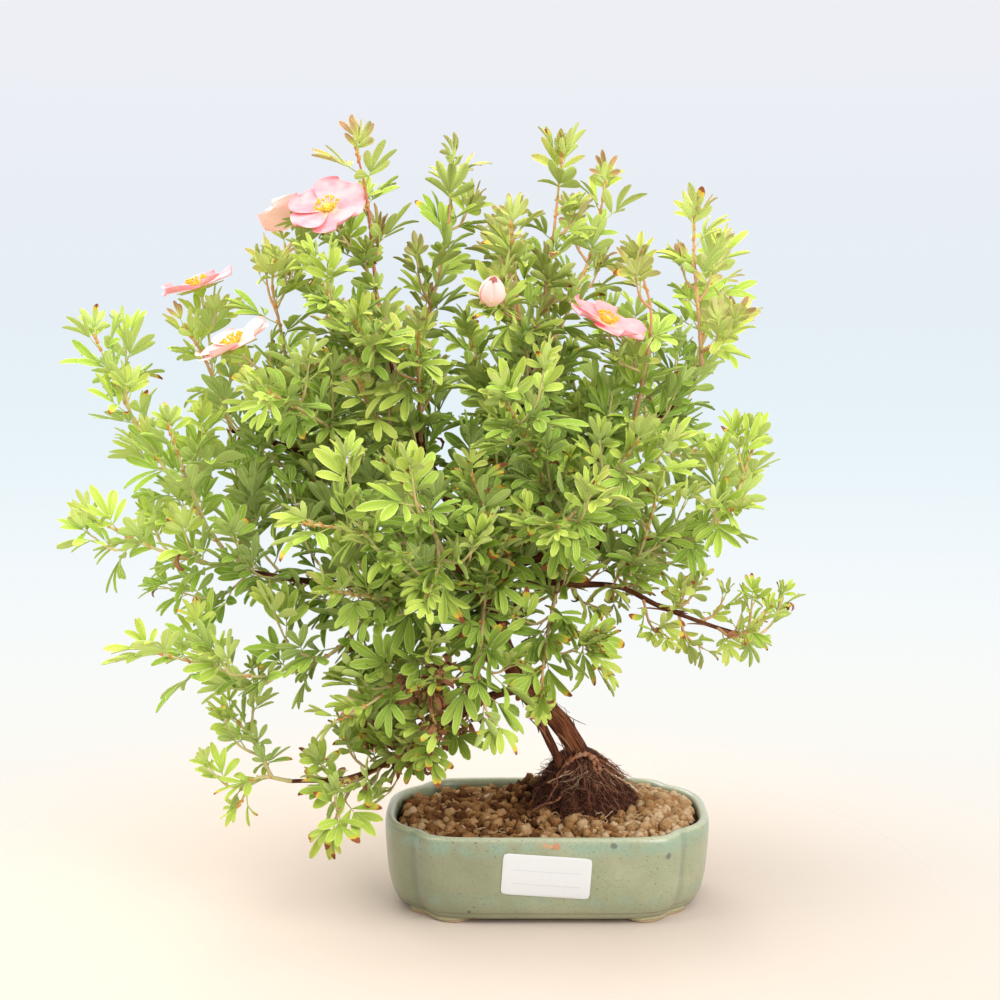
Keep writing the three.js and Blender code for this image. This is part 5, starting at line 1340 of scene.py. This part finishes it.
def flower_cup(flower, rng, closed=0.0):
    """The cup of one flower, and ten green sepals under the petals, five long and five short."""
    _, middle, facing, _ = flower
    side, up, front = facing_axes(facing)
    foot = np.array(middle) - front * CUP_FOOT
    cup = foot + front * np.array([-1, 0.2, 1.6, 3, 3.8])[:, None]
    turns = np.radians(36) * np.arange(10) + rng.normal(0, 0.05, 10)
    out = side * np.cos(turns)[:, None] + up * np.sin(turns)[:, None]
    steep = 0.04 + closed
    along = unit(out * math.cos(steep) + front * math.sin(steep))
    upward = unit(front * math.cos(steep) - out * math.sin(steep))
    length = np.where(np.arange(10) % 2, *SEPAL_LENGTHS) * (1 - 0.2 * closed)
    hubs = foot + front * 2.8 + out * 1.8
    curl = -0.05 - closed * 0.7
    sepals = blades(hubs, along, upward, length, 1.9, 0.2, curl, 0.3, (0.8, 0.8), age=0.45, tint=0.4)
    cup_radius = np.array([[0.7, 1.6, 2.8, 3.4, 2.6]])
    return [tubes(cup[None], cup_radius, 12, age=0.5, tint=0.5, length_share=0.3, across=0.4), sepals]


def limb_line(name, share):
    line = smooth_line(LIMBS[name], 2)
    return at(line, np.array([share]))[0][0]


for number, (name, (limb, from_share, colour, points, side_shoots)) in enumerate(SPRAYS.items()):
    rng = np.random.default_rng(100 + number)
    look, side_look = SPRAY_LOOKS[colour], SPRAY_LOOKS[SIDE_LOOKS.get(name, colour)]
    main = smooth_line([limb_line(limb, from_share), *points], 2)
    sides = [smooth_line([at(main, np.array([share]))[0][0], *ends], 2) for share, ends in side_shoots]
    groups = [([main, *sides], look)] if side_look is look else [([main], look), (sides, side_look)]
    skins = []
    for shoots, shoot_look in groups:
        twigs = side_shoots_of(shoots, rng, shoot_look)
        radii = [STEM_RADIUS] * len(shoots) + [TWIG_RADIUS] * len(twigs)
        skins += leafy_shoots(shoots + twigs, radii, rng, shoot_look, SPRAY_LEAF_SIZES.get(name, 1))
    carried = [(flower, main, 0.0) for flower in FLOWERS.values() if flower[0] == name]
    carried += [(BUD, sides[0], 0.9)] if BUD[0] == name else []
    for flower, line, closed in carried:
        stalk, stalk_look = [flower_stalk(line, flower)], SPRAY_LOOKS["stalk"]
        twigs = side_shoots_of(stalk, rng, stalk_look)
        skins += leafy_shoots(stalk + twigs, [STALK_RADIUS] * (1 + len(twigs)), rng, stalk_look, 0.85)
        skins += flower_cup(flower, rng, closed)
    spray = piece("leafy_" + name, skins, foliage)
    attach(spray, "root")
    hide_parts("spray_" + name)

# ---------------------------------------------------------------------------------------------------------------
# Inner twigs: the short leafy spurs that close the plant's head between the sprays. Each grows straight from the
# bark of a limb, where pinching made it branch.

INNER_TWIGS = {
    # limb, first and last share of its length, spacing, lengths, colour
    "crown_left": ("crown_left", 0.25, 0.85, 9, (22, 40), "inner"),
    "upper_left": ("upper_left", 0.22, 0.94, 10, (24, 40), "inner"),
    "left": ("left", 0.15, 0.96, 9, (26, 46), "inner"),
    "low_left": ("low_left", 0.16, 0.55, 4, (9, 20), "withered"),
    "crown_mid": ("crown_mid", 0.1, 0.8, 9, (22, 40), "inner"),
    "right_upper": ("right_upper", 0.12, 0.85, 9, (22, 40), "inner"),
    "right_mid": ("right_mid", 0.2, 0.9, 9, (24, 38), "inner"),
    "right_low": ("right_low", 0.2, 0.98, 7, (12, 28), "small"),
    "front": ("front", 0.15, 0.98, 8, (24, 40), "inner"),
    "front_right": ("front_right", 0.12, 0.98, 8, (24, 42), "inner"),
    "back": ("back", 0.2, 0.98, 9, (24, 40), "green"),
    "back_left": ("back_left", 0.2, 0.98, 9, (24, 40), "green"),
    "back_right": ("back_right", 0.2, 0.98, 9, (24, 40), "green"),
    "trunk": ("trunk", 0.45, 0.98, 8, (24, 42), "inner"),
    "low_left_end": ("low_left", 0.42, 0.8, 4.6, (12, 24), "yellowed"),
}
SMALL_LEAVES = 0.7

for number, (name, (limb, first, last, spacing, lengths, colour)) in enumerate(INNER_TWIGS.items()):
    rng = np.random.default_rng(300 + number)
    line = smooth_line(LIMBS.get(limb, TRUNK), 2)
    twigs = [smooth_line(twig, 2) for twig in side_twigs(line, rng, first, last, spacing, lengths)]
    size = SMALL_LEAVES if colour == "small" else 1
    skins = leafy_shoots(twigs, [TWIG_RADIUS] * len(twigs), rng, SPRAY_LOOKS[colour], size, PLAIN_BLADE)
    spurs = piece("twigs_" + name, skins, foliage)
    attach(spurs, "root")

# ---------------------------------------------------------------------------------------------------------------
# Blooms: five broad petals that overlap like a fan, pale pink and cream towards the middle, thin and a little
# wavy, round a tuft of yellow stamens. Three of them are more peach. The petals carry a painted glow in their
# own colour, strongest on the blooms that lie in shade.

PETAL_ROWS = 12
PETAL_ACROSS = np.concatenate([np.linspace(-1, 1, 11), np.linspace(0.8, -0.8, 9)])
PETAL_FACE = np.concatenate([[0], np.ones(9), [0], -np.ones(9)])
BLOOM_CUPPING = 0.16
BLOOM_TURN = 15  # degrees
STAMEN_COUNT = 34
PEACH_SHARES = {"b": 0.9, "d": 0.8, "f": 0.6}
BLOOM_WAVES = {"b": 2.4}  # where it isn't 1
# Painted glow: the petals emit their own colour in place of light through them, most on the blooms that lie in
# shade.
BLOOM_PAINTED_GLOWS = {"a": 0.1, "b": 1, "c": 1, "d": 0.4, "e": 0.6, "f": 0.5}  # light that comes through the petals


def bloom_petals(flower, rng, waves, **values):
    """Five obovate blades that share a cup, z = cupping * r ** 2 / R, with waves that grow to the rim.

    The half width at share t of the reach is 0.6 R sin(pi t ** 1.9) ** 0.45, so that the petal is narrow at the
    claw and broad and round at the end. Each is tilted across so that it lies over one neighbour and under the
    other.
    """
    _, middle, facing, _ = flower
    rows = np.sin(np.linspace(0.1, 0.985, PETAL_ROWS) * np.pi / 2) ** 1.1
    t, u, face = blade_grid(rows, PETAL_ACROSS, PETAL_FACE, 0.04, 1)
    size = BLOOM_RADIUS * rng.uniform(0.93, 1.02, (5, 1))
    width = 0.6 * size * np.sin(np.pi * t**1.9).clip(0) ** 0.45
    notch = 1 - 0.05 * np.exp(-((u / 0.25) ** 2)) * t**6
    reach, out = size * t * notch, u * width
    radius = np.hypot(reach, out)
    phase = rng.uniform(0, 6, (5, 1))
    wave = 0.7 * waves * t**3 * ripple(u * 4 + phase, u * 7 - phase * 2 + t * 3)
    crown = -0.9 * (1 - u**2) * t
    lift = BLOOM_CUPPING * radius**2 / BLOOM_RADIUS + wave + crown + 1.5 * u * t + 0.22 * face * (1 - 0.3 * t)
    turn = np.radians(72 * np.arange(5) + rng.normal(0, 3, 5) + BLOOM_TURN)[:, None]
    x = reach * np.cos(turn) - out * np.sin(turn)
    y = reach * np.sin(turn) + out * np.cos(turn)
    axes = facing_axes(facing)
    points = np.array(middle) + sum(part[..., None] * axis for part, axis in zip((x, y, lift), axes))
    shape = {"length_share": t[None], "across": np.abs(u)[None], "rim": (face == 0)[None] * 1.0}
    return skin(points, len(PETAL_ACROSS), tint=rng.random((5, 1)), **values, **shape)


def bloom_stamens(flower, rng):
    """A dome of pistils and thirty-odd stamens: thread-thin tubes that end in a bean-shaped anther."""
    _, middle, facing, _ = flower
    side, up, front = facing_axes(facing)
    turn, lean = GOLDEN_TURN * np.arange(STAMEN_COUNT), np.sqrt(np.linspace(0.1, 1, STAMEN_COUNT))
    out = side * np.cos(turn)[:, None] + up * np.sin(turn)[:, None]
    foot = np.array(middle) + front * 0.3 + out * (1.0 + 1.6 * lean)[:, None]
    heading = unit(front + out * (0.25 + 0.7 * lean)[:, None] + rng.normal(0, 0.1, (STAMEN_COUNT, 3)))
    steps = np.array([0, 0.45, 0.72, 0.78, 0.88, 0.97, 1.0])[None]
    length = rng.uniform(3.6, 5, STAMEN_COUNT)[:, None]
    lines = foot[:, None] + heading[:, None] * (steps * length)[..., None]
    radius = np.array([[0.2, 0.16, 0.15, 0.4, 0.58, 0.42, 0.15]])
    threads = tubes(lines, radius, 5, tint=steps)
    dome = np.array(middle) + front * np.array([0, 0.6, 1.4, 2.1, 2.6, 2.9])[:, None]
    dome = tubes(dome[None], np.array([[2.3, 2.4, 2.2, 1.8, 1.2, 0.5]]), 16, tint=0.2)
    return [threads, dome]


petal_finish = Finish("pink_petal", {"Roughness": 0.6, "Specular IOR Level": 0.25, "Emission Strength": 0.42})
along, across, tint = (petal_finish.value(name) for name in ("length_share", "across", "tint"))
blush = petal_finish.noise(petal_finish.place(), 0.12, 3)
on_petal = petal_finish.node("CombineXYZ", sockets={0: across * 9, 1: along, 2: tint * 9})
streak = petal_finish.noise(on_petal, 2.2, 3)
peach = petal_finish.value("peach")
cream = 1 - (along + (streak - 0.5) * 0.12).step(0.1, 0.32)
pink = petal_finish.over(
    "e68b93",
    (blush.step(0.35, 0.65), "eda7a7"),
    (peach * 0.8, "fbcdc2"),
    (streak.step(0.5, 0.75) * 0.15, "ea9ca0"),
    (cream * 0.75, "f8e4b4"))
# Painted glow: each bloom emits its own pink, as much as its share says, to lift the shaded ones.
glow = petal_finish.over("000000", (petal_finish.value("glow"), pink))
petal_finish.paint({"Base Color": pink, "Emission Color": glow})
petal_finish.bump(streak * 0.6 + blush, 0.25)

stamen_finish = Finish("yellow_stamens", {"Roughness": 0.7, "Specular IOR Level": 0.2})
grain_tint = stamen_finish.value("tint")
pollen = stamen_finish.noise(stamen_finish.place(), 1.5, 2)
stamen_colour = stamen_finish.ramp(
    grain_tint + (pollen - 0.5) * 0.2, (0.1, "cfc04a"), (0.5, "efd468"), (0.85, "eeb52e"))
stamen_finish.paint({"Base Color": stamen_colour})
stamen_finish.bump(pollen, 0.2)

for number, (name, flower) in enumerate(FLOWERS.items()):
    rng = np.random.default_rng(500 + number)
    shades = {"peach": PEACH_SHARES.get(name, 0), "glow": BLOOM_PAINTED_GLOWS[name]}
    open_petals = bloom_petals(flower, rng, BLOOM_WAVES.get(name, 1), **shades)
    petals = piece("petals_" + name, [open_petals], petal_finish)
    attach(petals, "root")
    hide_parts("bloom_" + name + "_petals")
    stamens = piece("stamens_" + name, bloom_stamens(flower, rng), stamen_finish)
    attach(stamens, "root")
    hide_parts("bloom_" + name + "_middle")

# ---------------------------------------------------------------------------------------------------------------
# Bud: a flower about to open, on the crown's front shoot. Its five petals are still rolled round each other in an
# egg, deeper pink outside, held by the green cup.

BUD_LENGTH, BUD_RADIUS = 14, 5.4


def bud_petals():
    """Five wraps of an egg, each 110 degrees wide: one edge goes under the last and the other over the next."""
    rng = np.random.default_rng(61)
    rows = np.linspace(0.06, 0.96, 12)
    t, u, face = blade_grid(rows, PETAL_ACROSS, PETAL_FACE, 0, 1)
    egg = BUD_RADIUS * np.sin(np.pi * (0.12 + 0.8 * t) ** 0.9) ** 0.8
    turn = np.radians(72 * np.arange(5))[:, None] + u * np.radians(55) * (1 - 0.35 * t**3)
    reach = egg * (1 + 0.1 * u) + 0.2 * face + 0.15 * ripple(turn * 3 + t * 5)
    lift = BUD_LENGTH * (t - 0.05 * np.abs(u) * t**2) + rng.uniform(-0.6, 0.6, (5, 1)) * t
    axes = facing_axes(BUD[2])
    parts = reach * np.cos(turn), reach * np.sin(turn), lift
    points = np.array(BUD[1]) + sum(part[..., None] * axis for part, axis in zip(parts, axes))
    shape = {"length_share": 0.45 + 0.5 * t[None], "across": np.abs(u)[None], "rim": (face == 0)[None] * 1.0}
    return skin(points, len(PETAL_ACROSS), tint=rng.random((5, 1)), peach=0.9, glow=0.5, **shape)


bud = piece("bud_petals", [bud_petals()], petal_finish)
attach(bud, "root")
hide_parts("bud")
